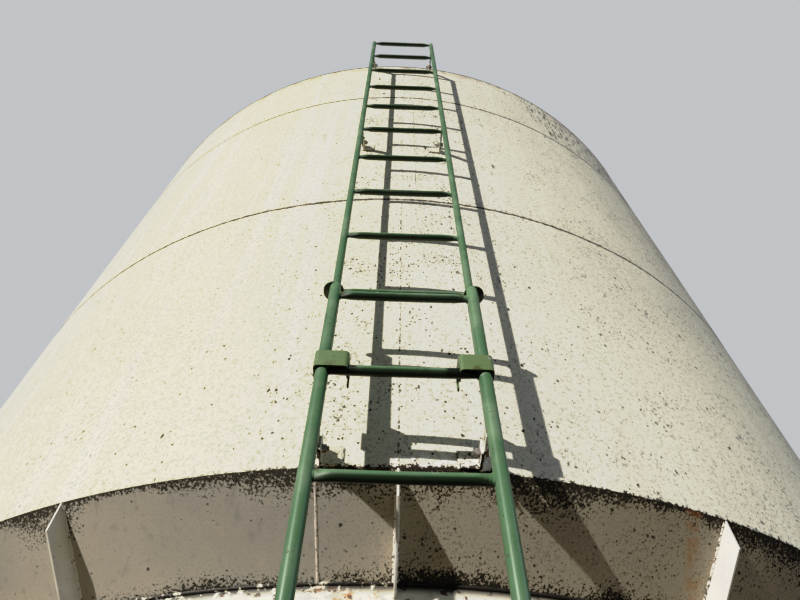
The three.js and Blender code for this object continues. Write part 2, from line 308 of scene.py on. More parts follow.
def stretched(place, x, y, z):
    """The place with each axis multiplied, so that a pattern is drawn out where the factor is small."""
    return joined("VectorMath", {0: place, 1: (x, y, z)}, operation="MULTIPLY").outputs[0]


def axes_of(place):
    """X, Y and Z of a place, as links."""
    return joined("SeparateXYZ", {"Vector": place}).outputs


def coat(shader, colour, roughness, height, strength, distance=1.0):
    """Links a colour, a roughness and a height in metres, through a Bump node, to a material's shader."""
    tree = shader.id_data
    tree.links.new(colour, shader.inputs["Base Color"])
    tree.links.new(roughness, shader.inputs["Roughness"])
    bump = add_node(tree, "Bump", {"Height": height, "Distance": distance, "Strength": strength})
    tree.links.new(bump.outputs[0], shader.inputs["Normal"])


def begin_group(name, output, **values):
    """New shader node group with a Vector, float inputs of the given values and one float output. Gives its
    tree, the links of its inputs and its output's socket."""
    tree = bpy.data.node_groups.new(name, "ShaderNodeTree")
    tree.interface.new_socket("Vector", in_out="INPUT", socket_type="NodeSocketVector")
    for label, value in values.items():
        tree.interface.new_socket(label, in_out="INPUT", socket_type="NodeSocketFloat").default_value = value
    tree.interface.new_socket(output, in_out="OUTPUT", socket_type="NodeSocketFloat")
    return tree, tree.nodes.new("NodeGroupInput").outputs, tree.nodes.new("NodeGroupOutput").inputs[output]


def pattern(group, place, **values):
    """One use of a node group at a place with its own values; gives its one output."""
    return joined("Group", {"Vector": place, **values}, node_tree=group).outputs[0]


# Mould spots: each cell of a Voronoi pattern may hold one ragged spot. Share says how many cells do, Reach
# how large a spot grows in its cell, and Spacing is the cell's size.
mould_spots, given, wanted = begin_group("mould spots", "Mask", Spacing=0.03, Reach=0.2, Share=0.5)
finer = reckon("DIVIDE", 1.0, given["Spacing"])
ragged = {"Vector": given["Vector"], "Scale": times(finer, 3.0), "Detail": 1.0}
ragged = joined("TexNoise", ragged).outputs["Color"]
ragged = joined("VectorMath", {0: ragged, 1: (0.5, 0.5, 0.5)}, operation="SUBTRACT").outputs[0]
ragged = {0: ragged, "Scale": times(given["Spacing"], 0.45)}
ragged = joined("VectorMath", ragged, operation="SCALE").outputs[0]
ragged = joined("VectorMath", {0: given["Vector"], 1: ragged}, operation="ADD").outputs[0]
cells = joined("TexVoronoi", {"Vector": ragged, "Scale": finer}).outputs
chance = joined("SeparateColor", {"Color": cells["Color"]}).outputs
holds = reckon("LESS_THAN", chance["Red"], given["Share"])
edge = times(times_plus(chance["Green"], 0.7, 0.3), given["Reach"])
core = times(edge, 0.55)
spot = joined("MapRange", {"Value": cells["Distance"], "From Min": edge, "From Max": core}).outputs[0]
mould_spots.links.new(times(spot, holds), wanted)

# Rain streaks: noise that is drawn out in height, so it runs down a wall. Width and Length are in metres.
rain_streaks, given, wanted = begin_group("rain streaks", "Value", Width=0.05, Length=0.6)
across = reckon("DIVIDE", 1.0, given["Width"])
along = reckon("DIVIDE", 1.0, given["Length"])
drawn = joined("CombineXYZ", {"X": across, "Y": across, "Z": along}).outputs[0]
drawn = joined("VectorMath", {0: given["Vector"], 1: drawn}, operation="MULTIPLY").outputs[0]
rain_streaks.links.new(noise(drawn, 1.0, 3.0, 0.6), wanted)

# Patches: noise cut at a level, for rust, stains and worn paint. Size is in metres, Cover is the share of
# the surface that is patched, and Edge says how soft the patches end.
patches, given, wanted = begin_group("patches", "Mask", Size=0.05, Cover=0.3, Edge=0.05)
value = noise(given["Vector"], reckon("DIVIDE", 1.0, given["Size"]), 5.0, 0.65, 0.3)
level = joined("MapRange", {"Value": given["Cover"], "To Min": 0.72, "To Max": 0.28}).outputs[0]
softer = reckon("ADD", level, given["Edge"])
cut = joined("MapRange", {"Value": value, "From Min": level, "From Max": softer}).outputs[0]
patches.links.new(cut, wanted)

# Line along a level: a narrow band about a height, its edge and strength broken by noise, for dirt that
# lies on a girth weld. Width is in metres and Strength from 0 to 1.
level_line, given, wanted = begin_group("level line", "Mask", Height=0.0, Width=0.006, Strength=1.0)
off = unsigned(minus(axes_of(given["Vector"])["Z"], given["Height"]))
wander = noise(given["Vector"], 45.0, 3.0, 0.6)
wander = times(times_plus(wander, 2.4, -0.5), given["Width"])
near = joined("MapRange", {"Value": off, "From Min": wander, "From Max": times(wander, 0.4)}).outputs[0]
broken = between(noise(given["Vector"], 9.0, 4.0, 0.7), 0.3, 0.44)
level_line.links.new(times(times(near, broken), given["Strength"]), wanted)

# Sprayed skin: the height of orange peel and of fine pits in a sprayed coat, in metres, for a Bump node.
sprayed_skin, given, wanted = begin_group("sprayed skin", "Height", Peel=0.0002, Pits=0.0003)
peel = times(noise(given["Vector"], 160.0, 2.0), given["Peel"])
pit = joined("TexVoronoi", {"Vector": given["Vector"], "Scale": 130.0}).outputs["Distance"]
pit = times(between(pit, 0.28, 0.05), given["Pits"])
sprayed_skin.links.new(minus(peel, pit), wanted)

cream = (0.78, 0.742, 0.6, 1)
cream_worn = (0.71, 0.68, 0.555, 1)
cream_pink = (0.77, 0.69, 0.59, 1)
cream_white = (0.84, 0.815, 0.68, 1)
dust_grey = (0.17, 0.165, 0.158, 1)
cream_lit_tint = (0.78, 0.728, 0.45, 1)
mould_black = (0.022, 0.019, 0.014, 1)
mould_brown = (0.13, 0.105, 0.07, 1)
rust_brown = (0.24, 0.12, 0.055, 1)
seam_dirt = (0.04, 0.026, 0.017, 1)
seam_soil = (0.05, 0.034, 0.022, 1)
chalk_white = (0.9, 0.88, 0.8, 1)
foot_grime = (0.035, 0.026, 0.02, 1)


def cream_paint(name, mould, streaks, stain):
    """Weathered cream paint: how much mould, streaking and rusty stain it carries are from 0 to 1."""
    material, shader, place = new_material(name, Specular_IOR_Level=0.2)
    sides = axes_of(place)
    broad = noise(place, 1.1, 4.0, 0.6)
    colour = lay_over(between(broad, 0.35, 0.7), cream, cream_worn)
    warm = noise(place, 5.0, 4.0, 0.65)
    colour = lay_over(times(between(warm, 0.5, 0.75), 0.5), colour, cream_pink)
    # Painted light tone: where the key light falls most squarely, on the left front, the cream is made
    # yellower and a little darker.
    key_lit_side = times(between(sides["X"], 0.3, -0.8), between(sides["X"], -2.1, -1.1))
    key_lit_side = times(key_lit_side, 0.75)
    colour = lay_over(key_lit_side, colour, cream_lit_tint)
    fall = pattern(rain_streaks, place, Width=0.09, Length=2.4)
    colour = lay_over(times(between(fall, 0.46, 0.7), 0.5), colour, cream_white)
    thin = pattern(rain_streaks, place, Width=0.02, Length=0.5)
    dirty = times(between(thin, 0.5, 0.85), 0.12 * streaks)
    colour = lay_over(dirty, colour, mould_brown)

    rightwards = between(sides["X"], -1.1, 1.3)
    behind_ladder = between(unsigned(sides["X"]), 0.42, 0.1)
    clumps = between(noise(place, 2.3, 4.0, 0.65), 0.36, 0.64)
    crowded = times_plus(rightwards, 0.36, 0.2)
    crowded = times_plus(behind_ladder, 0.7, crowded)
    upwards = times(between(sides["Z"], 3.2, 6.0), between(sides["X"], -0.9, 0.3))
    crowded = times_plus(upwards, 0.35, crowded)
    front_side = between(sides["Y"], -0.25, -0.8)
    outer_right = times(between(sides["X"], 1.3, 1.75), front_side)
    near_eave = times(between(sides["X"], 0.75, 1.1), between(sides["Z"], 5.5, 5.95))
    near_eave = times(near_eave, front_side)
    weathered = larger(outer_right, near_eave)
    crowded = times_plus(weathered, 0.9, crowded)
    crowded = times(crowded, times_plus(clumps, 0.8, 0.2))
    crowded = times(crowded, mould)
    clusters = between(noise(place, 8.0, 4.0, 0.7), 0.5, 0.62)
    crowded = times(crowded, times_plus(clusters, 1.9, 0.35))
    grain = between(noise(place, 80.0, 4.0, 0.9), 0.5, 0.64)
    grain = times(grain, times_plus(crowded, 0.4, 0.55))
    colour = lay_over(grain, colour, dust_grey)
    drawn_place = stretched(place, 1, 1, 0.7)
    for spacing, reach, share, strength in (
        (0.0105, 0.42, 0.9, 0.9),
        (0.021, 0.33, 0.7, 0.97),
        (0.05, 0.16, 0.26, 0.98),
        (0.15, 0.07, 0.2, 0.98),
    ):
        seeded = times(crowded, share)
        spots = pattern(mould_spots, drawn_place, Spacing=spacing, Reach=reach, Share=seeded)
        colour = lay_over(times(spots, strength), colour, mould_black)

    seeded = larger(times(upwards, 0.4), times(weathered, 0.9))
    seeded = times(seeded, times_plus(clumps, 0.7, 0.3))
    seeded = times(seeded, mould)
    run_place = stretched(place, 1, 1, 0.3)
    spots = pattern(mould_spots, run_place, Spacing=0.04, Reach=0.26, Share=seeded)
    colour = lay_over(times(spots, 0.92), colour, mould_black)
    high_up = between(sides["Z"], 3.7, 4.9)
    eave_stain = between(sides["Z"], 6.3, 6.43)
    where = larger(times(outer_right, high_up), eave_stain)
    rusty = pattern(patches, place, Size=0.1, Cover=0.58 * stain, Edge=0.16)
    rusty = times(times(rusty, where), 0.6)
    colour = lay_over(rusty, colour, rust_brown)
    runs = pattern(rain_streaks, place, Width=0.016, Length=0.11)
    runs = times(between(runs, 0.575, 0.59), between(near_eave, 0.4, 0.6))
    runs = times(runs, 0.97 * min(streaks, 1.0))
    colour = lay_over(runs, colour, mould_black)

    soil_grains = pattern(patches, place, Size=0.014, Cover=0.34, Edge=0.05)
    for seam in course_tops.values():
        line = pattern(level_line, place, Height=seam, Width=0.016, Strength=0.97)
        colour = lay_over(line, colour, seam_dirt)
        soil = pattern(level_line, place, Height=seam, Width=0.06, Strength=0.85)
        soil = times(times(soil, rightwards), soil_grains)
        colour = lay_over(soil, colour, seam_soil)
    above_foot = minus(sides["Z"], wall_foot)
    near_rib = times(between(sides["X"], -0.03, 0.0), between(sides["X"], 0.3, 0.22))
    flaked = pattern(patches, place, Size=0.022, Cover=0.5, Edge=0.04)
    flaked = times(times(flaked, near_rib), between(above_foot, 0.05, 0.035))
    colour = lay_over(flaked, colour, chalk_white)
    soiled = times_plus(near_rib, 0.006, 0.004)
    soiled = minus(soiled, above_foot)
    ragged = minus(noise(place, 90.0, 3.0, 0.7), 0.5)
    soiled = between(times_plus(ragged, 0.06, soiled), 0.0, 0.003)
    foot_side = between(sides["X"], -0.9, -0.2)
    colour = lay_over(times(soiled, foot_side), colour, foot_grime)

    rough = times_plus(between(noise(place, 14.0, 3.0), 0.3, 0.8), 0.16, 0.5)
    height = pattern(sprayed_skin, place, Peel=0.0007, Pits=0.0008)
    coat(shader, colour, rough, height, 1.0)
    return material


half_turn = np.linspace(0, 180, 121)


def two_sheets(name, node, outline, seam, swell, slot, paint):
    """Left and right half-round sheets of one outline, parted at the seam's azimuth and opposite it."""
    for side, start in (("left", -180), ("right", 0)):
        shell = carried_round(outline, seam + start + half_turn, swell)
        put_piece(f"rolled_{name}_{side}", [shell], slot, paint, f"{node}_{side}")


wall_paint = cream_paint("cream_wall_paint", mould=1.0, streaks=1.0, stain=1.0)
row_height = 0.026
course_foot = wall_foot
for course, course_top in course_tops.items():
    rows = round((course_top - course_foot) / row_height)
    outline = sheet_outline(bin_radius, course_foot, bin_radius, course_top, sheet, rows)
    name = f"wall_{course}_course"
    two_sheets(name, name, outline, seam_azimuths[course], wall_swell, "cream_paint", wall_paint)
    course_foot = course_top

# Wall welds: the low beads along the girth seams, the eave and the upright seams, painted with the wall.
# Dirt and rust lie along them in a thin broken line.
girth_bead = (0.0036, 0.0014)
upright_bead = (0.0028, 0.0012)
bead_margin = 0.004


def weld_bead(centres, outwards, sideways, size, loop=False):
    """Bead along a line of centres, of a size that is its half width and its rise: its section is a low dome,
    side by half_width times cos t and out by rise times sin t for t from 0 to pi, closed by a flat base sunk
    under the surface. Both sizes waver by a fifth along the line, by two sines of the station."""
    half_width, rise = size
    n = np.arange(len(centres))[:, None]
    waver = 1 + 0.13 * np.sin(n * 1.7 + 0.5) + 0.09 * np.sin(n * 0.61)
    t = np.linspace(0, math.pi, 6)[None, :]
    side = np.concatenate((np.cos(t), -np.ones((1, 1)), np.ones((1, 1))), axis=1) * half_width * waver
    out = np.concatenate((np.sin(t), -np.ones((1, 2)) * 0.8), axis=1) * rise * waver
    across = side[..., None] * np.broadcast_to(sideways, centres.shape)[:, None, :]
    upwards = out[..., None] * np.broadcast_to(outwards, centres.shape)[:, None, :]
    return skin(centres[:, None, :] + across + upwards, loop)


def on_wall(azimuth, height):
    """Points on the wall's outer face, its ripples included."""
    a = np.radians(azimuth)
    r = bin_radius + wall_swell(a, height)
    return np.stack((r * np.sin(a), axis_y - r * np.cos(a), height + 0 * a), axis=-1)


def outwards_at(azimuth):
    """Unit vectors that point away from the bin's axis."""
    a = np.radians(azimuth)
    return np.stack((np.sin(a), -np.cos(a), 0 * a), axis=-1)


def across_at(azimuth):
    """Unit vectors that point to the right along the wall, as seen from outside."""
    a = np.radians(azimuth)
    return np.stack((np.cos(a), np.sin(a), 0 * a), axis=-1)


rust_deep = (0.1, 0.05, 0.025, 1)
weld_brown = (0.085, 0.062, 0.042, 1)


def weld_material(name, paint, dirt, dirt_size):
    """Painted weld: ripples of the bead as bump, and dirt or rust in specks of a size where noise is high."""
    material, shader, place = new_material(name)
    rightwards = between(axes_of(place)["X"], -1.6, 1.0)
    amount = times_plus(rightwards, 0.3, dirt)
    dark = pattern(patches, place, Size=dirt_size, Cover=amount, Edge=0.05)
    rusty = pattern(patches, place, Size=0.2, Cover=0.42, Edge=0.1)
    grime_and_shade = lay_over(rusty, mould_black, rust_deep)
    colour = lay_over(times(dark, 0.9), paint, grime_and_shade)
    coat(shader, colour, times_plus(dark, 0.25, 0.55), noise(place, 240.0), 0.7, distance=0.001)
    return material


girth_weld = weld_material("girth_weld", weld_brown, dirt=0.6, dirt_size=0.03)
full_turn = np.linspace(0, 360, 720, endpoint=False)
beads = []
for z in course_tops.values():
    line = on_wall(full_turn, np.full(720, z))
    beads.append(weld_bead(line, outwards_at(full_turn), (0, 0, 1), girth_bead, loop=True))
put_piece("girth_welds", beads, "cream_paint", girth_weld)
upright_weld = weld_material("upright_weld", cream, dirt=0.3, dirt_size=0.012)
course_foot = wall_foot
beads = []
for course, course_top in course_tops.items():
    levels = np.linspace(course_foot + bead_margin, course_top - bead_margin, 160)
    for seam in (seam_azimuths[course], seam_azimuths[course] + 180):
        line = on_wall(np.full(160, seam), levels)
        beads.append(weld_bead(line, outwards_at(seam), across_at(seam), upright_bead))
    course_foot = course_top
put_piece("upright_welds", beads, "cream_paint", upright_weld)

# Hopper cone: two rolled half sheets welded to the wall's foot, painted like the wall and always in shade.
# A ragged black band of mould hangs from the wall's foot, and more lies along the ring and the ribs.
hopper_slope = math.radians(40)
hopper_seam = -5.2
outlet_radius = 0.230
ring_radius = 2.073
rib_count = 16
rib_depth = 0.0635
rib_thickness = 0.00635
cone_bead = (0.0033, 0.0022)


def cone_height(radius):
    """Height of the cone's outer face at a distance from the axis."""
    return wall_foot - (bin_radius - radius) * math.tan(hopper_slope)


outlet_height = cone_height(outlet_radius)
ring_top = cone_height(ring_radius) - fit_gap
beige = (0.56, 0.51, 0.41, 1)
beige_grey = (0.47, 0.44, 0.37, 1)
beige_warm = (0.62, 0.53, 0.39, 1)
beige_brown = (0.5, 0.42, 0.29, 1)
rust_orange = (0.50, 0.19, 0.055, 1)
weld_pale = (0.88, 0.8, 0.7, 1)


def hopper_paint(name, mould, foot_band):
    """Grey beige hopper paint with mould spots, and a black band below the wall's foot where asked."""
    material, shader, place = new_material(name)
    sides = axes_of(place)
    colour = lay_over(between(noise(place, 1.7, 5.0, 0.6), 0.35, 0.68), beige, beige_grey)
    warm = between(noise(place, 6.0, 4.0, 0.6), 0.52, 0.75)
    colour = lay_over(times(warm, 0.55), colour, beige_warm)
    fall = pattern(rain_streaks, place, Width=0.03, Length=0.35)
    colour = lay_over(times(between(fall, 0.55, 0.8), 0.3), colour, mould_brown)
    rightwards = between(sides["X"], -0.3, 0.12)
    colour = lay_over(times(rightwards, 0.5), colour, beige_brown)
    clumps = between(noise(place, 5.5, 4.0, 0.7), 0.34, 0.6)
    crowded = times_plus(rightwards, 0.7, 0.05)
    crowded = times(times_plus(clumps, 0.75, 0.25), crowded)
    crowded = times(crowded, mould)
    grain = noise(place, 150.0, 3.0, 0.7)
    grimy = times(between(grain, 0.48, 0.66), times_plus(crowded, 0.75, 0.1))
    colour = lay_over(grimy, colour, mould_brown)
    for spacing, reach, share in ((0.009, 0.44, 0.6), (0.02, 0.32, 0.6), (0.06, 0.17, 0.4)):
        seeded = times(crowded, share)
        spots = pattern(mould_spots, place, Spacing=spacing, Reach=reach, Share=seeded)
        colour = lay_over(times(spots, 0.9), colour, mould_black)
    if foot_band:
        depth = minus(wall_foot, sides["Z"])
        reach = times_plus(between(noise(place, 2.6, 4.0, 0.65), 0.36, 0.7), 0.055, 0.012)
        crust = minus(1.0, reckon("DIVIDE", depth, reach))
        drips = pattern(rain_streaks, place, Width=0.012, Length=0.12)
        crust = times_plus(minus(drips, 0.5), 1.0, crust)
        crust = times_plus(minus(grain, 0.5), 4.5, crust)
        colour = lay_over(times(between(crust, 0.28, 0.5), 0.92), colour, mould_black)
        above_ring = unsigned(minus(sides["Z"], ring_top + 0.004))
        heap = between(sides["X"], -0.2, -0.09)
        reach = times_plus(noise(place, 5.0, 3.0, 0.6), 0.07, -0.035)
        reach = times_plus(heap, 0.014, reach)
        reach = times_plus(minus(grain, 0.5), 0.14, reach)
        band = between(minus(reach, above_ring), -0.004, 0.003)
        colour = lay_over(times(band, 0.95), colour, mould_black)
        beside_rib = between(unsigned(minus(sides["X"], 0.775)), 0.035, 0.008)
        rusty = pattern(rain_streaks, place, Width=0.02, Length=0.3)
        rusty = times(beside_rib, between(rusty, 0.35, 0.6))
        colour = lay_over(times(rusty, 0.45), colour, rust_orange)
    height = pattern(sprayed_skin, place, Peel=0.0003, Pits=0.0004)
    coat(shader, colour, times_plus(clumps, 0.12, 0.6), height, 0.6)
    return material


cone_paint = hopper_paint("hopper_cone_paint", mould=1.0, foot_band=True)
cone_rows = 60
outline = sheet_outline(outlet_radius, outlet_height, bin_radius, wall_foot, sheet, cone_rows)
rim_drop = sheet / math.sin(hopper_slope)
mouth_rise = 0.0065
outline[cone_rows + 1:] = np.linspace(
    (bin_radius - rim_drop, wall_foot),
    (outlet_radius, outlet_height + mouth_rise),
    cone_rows + 1,
)
two_sheets("cone", "hopper_cone", outline, hopper_seam, None, "hopper_paint", cone_paint)

off_slope = np.array([math.sin(hopper_slope), -math.cos(hopper_slope)])


def at_azimuth(flat, azimuth):
    """Points (distance out, height) stood up at an azimuth, as points in space; one azimuth for all."""
    a = math.radians(azimuth)
    flat = np.asarray(flat, float)
    return np.stack((flat[..., 0] * math.sin(a), axis_y - flat[..., 0] * math.cos(a), flat[..., 1]), axis=-1)


beads = []
for seam in (hopper_seam, hopper_seam + 180):
    reach = np.linspace(bin_radius - 0.006, outlet_radius + 0.01, 240)
    line = at_azimuth(np.stack((reach, cone_height(reach)), axis=-1), seam)
    outwards = at_azimuth(off_slope, seam) - (0, axis_y, 0)
    beads.append(weld_bead(line, outwards, across_at(seam), cone_bead))
cone_weld = weld_material("cone_weld", weld_pale, dirt=0.22, dirt_size=0.008)
put_piece("cone_seam_welds", beads, "hopper_paint", cone_weld)

# Ribs: sixteen flat bars on edge under the cone, from the ring up to the wall's foot, where each is cut
# plumb. They are stitched to the cone by a fillet weld along both sides, and their paint is pale in patches.
rib_outer = bin_radius - 0.001
rib_inner = ring_radius - 0.002
rib_height = rib_depth / math.cos(hopper_slope)
edge_round = 0.0012
rib_bow = 0.0015
rib_stations = 14
rib_bead = (0.004, 0.003)


def rounded_box_ring(half_width, half_height, rounding, corner_steps=3):
    """Rectangle with rounded corners, as offsets (sideways, up) of its points, counterclockwise."""
    t = np.linspace(0, math.pi / 2, corner_steps)
    arc = rounding * np.stack((np.cos(t), np.sin(t)), axis=-1)
    turns = []
    for quarter, (sx, sy) in enumerate(((1, 1), (-1, 1), (-1, -1), (1, -1))):
        c, s = math.cos(quarter * math.pi / 2), math.sin(quarter * math.pi / 2)
        turned_arc = arc @ np.array([[c, s], [-s, c]])
        turns.append(turned_arc + (sx * (half_width - rounding), sy * (half_height - rounding)))
    return np.concatenate(turns)


def rib_bar(azimuth, bow):
    """Bar at an azimuth: upright rounded rectangles stand at even steps from the ring to the wall's foot,
    their top edge on the cone, bowed sideways by a half sine."""
    reach = np.linspace(rib_inner, rib_outer, rib_stations)
    middle = cone_height(reach) - fit_gap - rib_height / 2
    line = at_azimuth(np.stack((reach, middle), axis=-1), azimuth)[:, None]
    edge_in = np.ones((rib_stations, 1))
    edge_in[[0, -1]] = 0.82
    aside, above = rounded_box_ring(rib_thickness / 2, rib_height / 2, edge_round).T
    sideways = bow * np.sin(np.linspace(0, math.pi, rib_stations))[:, None] + aside * edge_in
    upwards = above * (1 - (1 - edge_in) * 0.02)
    return skin(line + sideways[..., None] * across_at(azimuth) + upwards[..., None] * (0, 0, 1))


def rib_material():
    """Cream paint of the ribs: chalky white in patches, with pale nicks, mould low down and rusty patches."""
    material, shader, place = new_material("rib_paint")
    sides = axes_of(place)
    colour = lay_over(between(noise(place, 9.0, 4.0, 0.6), 0.4, 0.8), chalk_white, cream)
    nicks = pattern(patches, place, Size=0.03, Cover=0.3, Edge=0.06)
    colour = lay_over(times(nicks, 0.7), colour, cream_white)
    bottom = between(sides["Z"], ring_top + 0.02, ring_top - 0.09)
    stained = pattern(patches, place, Size=0.05, Cover=0.55, Edge=0.12)
    colour = lay_over(times(bottom, stained), colour, mould_brown)
    spots = pattern(mould_spots, place, Spacing=0.012, Reach=0.26, Share=0.14)
    colour = lay_over(times(spots, 0.85), colour, mould_black)
    rusty = pattern(patches, place, Size=0.07, Cover=0.1, Edge=0.04)
    colour = lay_over(times(rusty, 0.8), colour, rust_orange)
    height = pattern(sprayed_skin, place, Peel=0.0004, Pits=0.0005)
    coat(shader, colour, times_plus(rusty, 0.2, 0.55), height, 0.6)
    return material


rib_paint = rib_material()
beads = []
for i in range(rib_count):
    azimuth = 360 * i / rib_count
    bar = rib_bar(azimuth, rib_bow * math.sin(i * 2.3 + 0.4))
    put_piece(f"rib_bar_{i + 1:02d}", [bar], "hopper_paint", rib_paint, f"hopper_rib_{i + 1:02d}")
    tangent = across_at(azimuth)
    reach = np.linspace(rib_inner + bead_margin, rib_outer - bead_margin, 60)
    line = at_azimuth(np.stack((reach, cone_height(reach)), axis=-1), azimuth)
    down = at_azimuth(off_slope, azimuth) - (0, axis_y, 0)
    for hand in (-1, 1):
        centres = line + hand * (rib_thickness / 2 + 0.001) * tangent
        leaning = (down + hand * tangent) / math.sqrt(2)
        level = (tangent - hand * down) / math.sqrt(2)
        beads.append(weld_bead(centres, leaning, level, rib_bead))
put_piece("rib_welds", beads, "hopper_paint", cone_weld)

# Hopper ring: an angle rolled round the cone under the ribs, welded to the cone, the ribs and the legs.
# Its paint has blistered white over orange rust, and water standing on the weld keeps its top black.
angle_leg = 0.102
angle_thickness = 0.008
ring_bottom = ring_top - angle_leg
ring_bead = (0.0045, 0.003)
corner_round = 0.002
blister_white = (0.86, 0.82, 0.66, 1)
rust_bare = (0.1, 0.045, 0.02, 1)


def flaking_paint(name):
    """Blistered paint: white flakes, orange rust and black spots, each a noise cut at its own level."""
    material, shader, place = new_material(name)
    sides = axes_of(place)
    flat = stretched(place, 1, 1, 1.3)
    colour = lay_over(between(noise(place, 3.0, 4.0), 0.4, 0.6), cream, beige)
    white = pattern(patches, flat, Size=0.05, Cover=0.6, Edge=0.05)
    colour = lay_over(white, colour, blister_white)
    orange = pattern(patches, flat, Size=0.06, Cover=0.33, Edge=0.1)
    colour = lay_over(times(orange, 0.75), colour, rust_orange)
    bare = pattern(patches, flat, Size=0.03, Cover=0.3, Edge=0.03)
    colour = lay_over(times(bare, 0.9), colour, rust_bare)
    near_top = between(sides["Z"], ring_top - 0.03, ring_top - 0.004)
    wet = pattern(patches, place, Size=0.02, Cover=0.72, Edge=0.05)
    wet = times(near_top, larger(wet, between(sides["X"], -0.02, 0.05)))
    colour = lay_over(wet, colour, mould_black)
    flakes = times(minus(white, bare), 0.0006)
    coat(shader, colour, times_plus(orange, 0.2, 0.6), flakes, 0.8)
    return material


def softened(outline, rounding):
    """Closed outline with each corner cut back by a distance along both its edges and a point between, so
    that edges catch the light."""
    p = np.asarray(outline, float)
    back = np.roll(p, 1, 0) - p
    ahead = np.roll(p, -1, 0) - p
    back = back / np.linalg.norm(back, axis=1, keepdims=True)
    ahead = ahead / np.linalg.norm(ahead, axis=1, keepdims=True)
    middle = p + 0.29 * rounding * (back + ahead)
    return np.stack((p + rounding * back, middle, p + rounding * ahead), axis=1).reshape(-1, 2)


def rolled_ring(outline, rounding, count):
    """Ring of an outline with softened corners, carried all the way round in count steps."""
    return carried_round(softened(outline, rounding), np.linspace(0, 360, count, endpoint=False), loop=True)


def level_circle(radius, height, count):
    """Points of a level circle about the bin's axis."""
    return (0, axis_y, height) + radius * outwards_at(np.linspace(0, 360, count, endpoint=False))


ring_paint = flaking_paint("flaking_ring_paint")
ring_outline = [
    (ring_radius - angle_leg, ring_bottom),
    (ring_radius, ring_bottom),
    (ring_radius, ring_top),
    (ring_radius - angle_thickness, cone_height(ring_radius - angle_thickness) - fit_gap),
    (ring_radius - angle_thickness, ring_bottom + angle_thickness),
    (ring_radius - angle_leg, ring_bottom + angle_thickness),
]
ring = rolled_ring(ring_outline, corner_round, 256)
put_piece("rolled_hopper_ring", [ring], "hopper_paint", ring_paint, "hopper_ring")
bead_radius = ring_radius + 0.002
line = level_circle(bead_radius, cone_height(bead_radius) - 0.002, 720)
slant = math.radians(65)
leaning = outwards_at(full_turn) * math.sin(slant) - (0, 0, math.cos(slant))
upwards = outwards_at(full_turn) * math.cos(slant) + (0, 0, math.sin(slant))
bead = weld_bead(line, leaning, upwards, ring_bead, loop=True)
put_piece("ring_weld", [bead], "hopper_paint", ring_paint)

# Legs: eight square tubes welded under the ring and standing on the ground ring, painted like the hopper
# and splashed with soil at the foot. They are out of the photograph and finished plainly.
leg_count = 8
leg_width = 0.102
leg_round = 0.012
leg_bead = (0.0055, 0.004)
leg_foot = angle_thickness + fit_gap
leg_face = ring_radius * math.cos(math.pi / 64)
soil_brown = (0.21, 0.15, 0.095, 1)


def splashed_paint(name):
    """Hopper paint with soil splashed up from the ground and rust where the tubes are welded."""
    material, shader, place = new_material(name)
    sides = axes_of(place)
    colour = lay_over(between(noise(place, 2.5, 4.0, 0.6), 0.35, 0.68), cream, beige)
    fall = pattern(rain_streaks, place, Width=0.02, Length=0.5)
    colour = lay_over(times(between(fall, 0.5, 0.8), 0.45), colour, mould_brown)
    spots = pattern(mould_spots, place, Spacing=0.02, Reach=0.22, Share=0.3)
    colour = lay_over(times(spots, 0.85), colour, mould_black)
    ragged_height = times_plus(noise(place, 8.0, 5.0, 0.7), 0.5, -0.12)
    soil = between(minus(ragged_height, sides["Z"]), -0.1, 0.12)
    colour = lay_over(times(soil, 0.75), colour, soil_brown)
    rusty = pattern(patches, place, Size=0.09, Cover=0.24, Edge=0.05)
    near_foot = between(sides["Z"], 0.5, 0.02)
    near_head = between(sides["Z"], 2.1, 2.33)
    ends = times_plus(larger(near_foot, near_head), 0.85, 0.1)
    colour = lay_over(times(rusty, ends), colour, rust_brown)
    height = pattern(sprayed_skin, place, Peel=0.0003, Pits=0.0005)
    coat(shader, colour, times_plus(soil, 0.3, 0.52), height, 0.6)
    return material


leg_paint = splashed_paint("splashed_leg_paint")
leg_section = rounded_box_ring(leg_width / 2, leg_width / 2, leg_round, 5)
bead_section = rounded_box_ring(leg_width / 2 + 0.0005, leg_width / 2 + 0.0005, leg_round, 9)
leg_head = ring_bottom - fit_gap
levels = np.array([leg_foot, leg_foot + 0.002, *np.linspace(0.1, 2.2, 8), leg_head - 0.002, leg_head])
narrowed = np.ones(12)
narrowed[[0, -1]] = 0.975
beads = []
for i in range(leg_count):
    azimuth = 360 * (i + 0.5) / leg_count
    tangent, outwards = across_at(azimuth), outwards_at(azimuth)
    middle = (0, axis_y, 0) + (leg_face - leg_width / 2) * outwards
    plan = leg_section[:, :1] * tangent + leg_section[:, 1:] * outwards
    rings = middle + narrowed[:, None, None] * plan + levels[:, None, None] * (0, 0, 1)
    put_piece(f"square_leg_{i + 1}", [skin(rings)], "hopper_paint", leg_paint, f"leg_{i + 1}")
    plan = bead_section[:, :1] * tangent + bead_section[:, 1:] * outwards
    away = plan / np.linalg.norm(plan, axis=1, keepdims=True)
    for height, upward in ((leg_foot, 1), (ring_bottom - 0.001, -1)):
        slant = (away + (0, 0, upward)) / math.sqrt(2)
        cross = (away - (0, 0, upward)) / math.sqrt(2)
        beads.append(weld_bead(middle + plan + (0, 0, height), slant, cross, leg_bead, loop=True))
put_piece("leg_welds", beads, "hopper_paint", leg_paint)

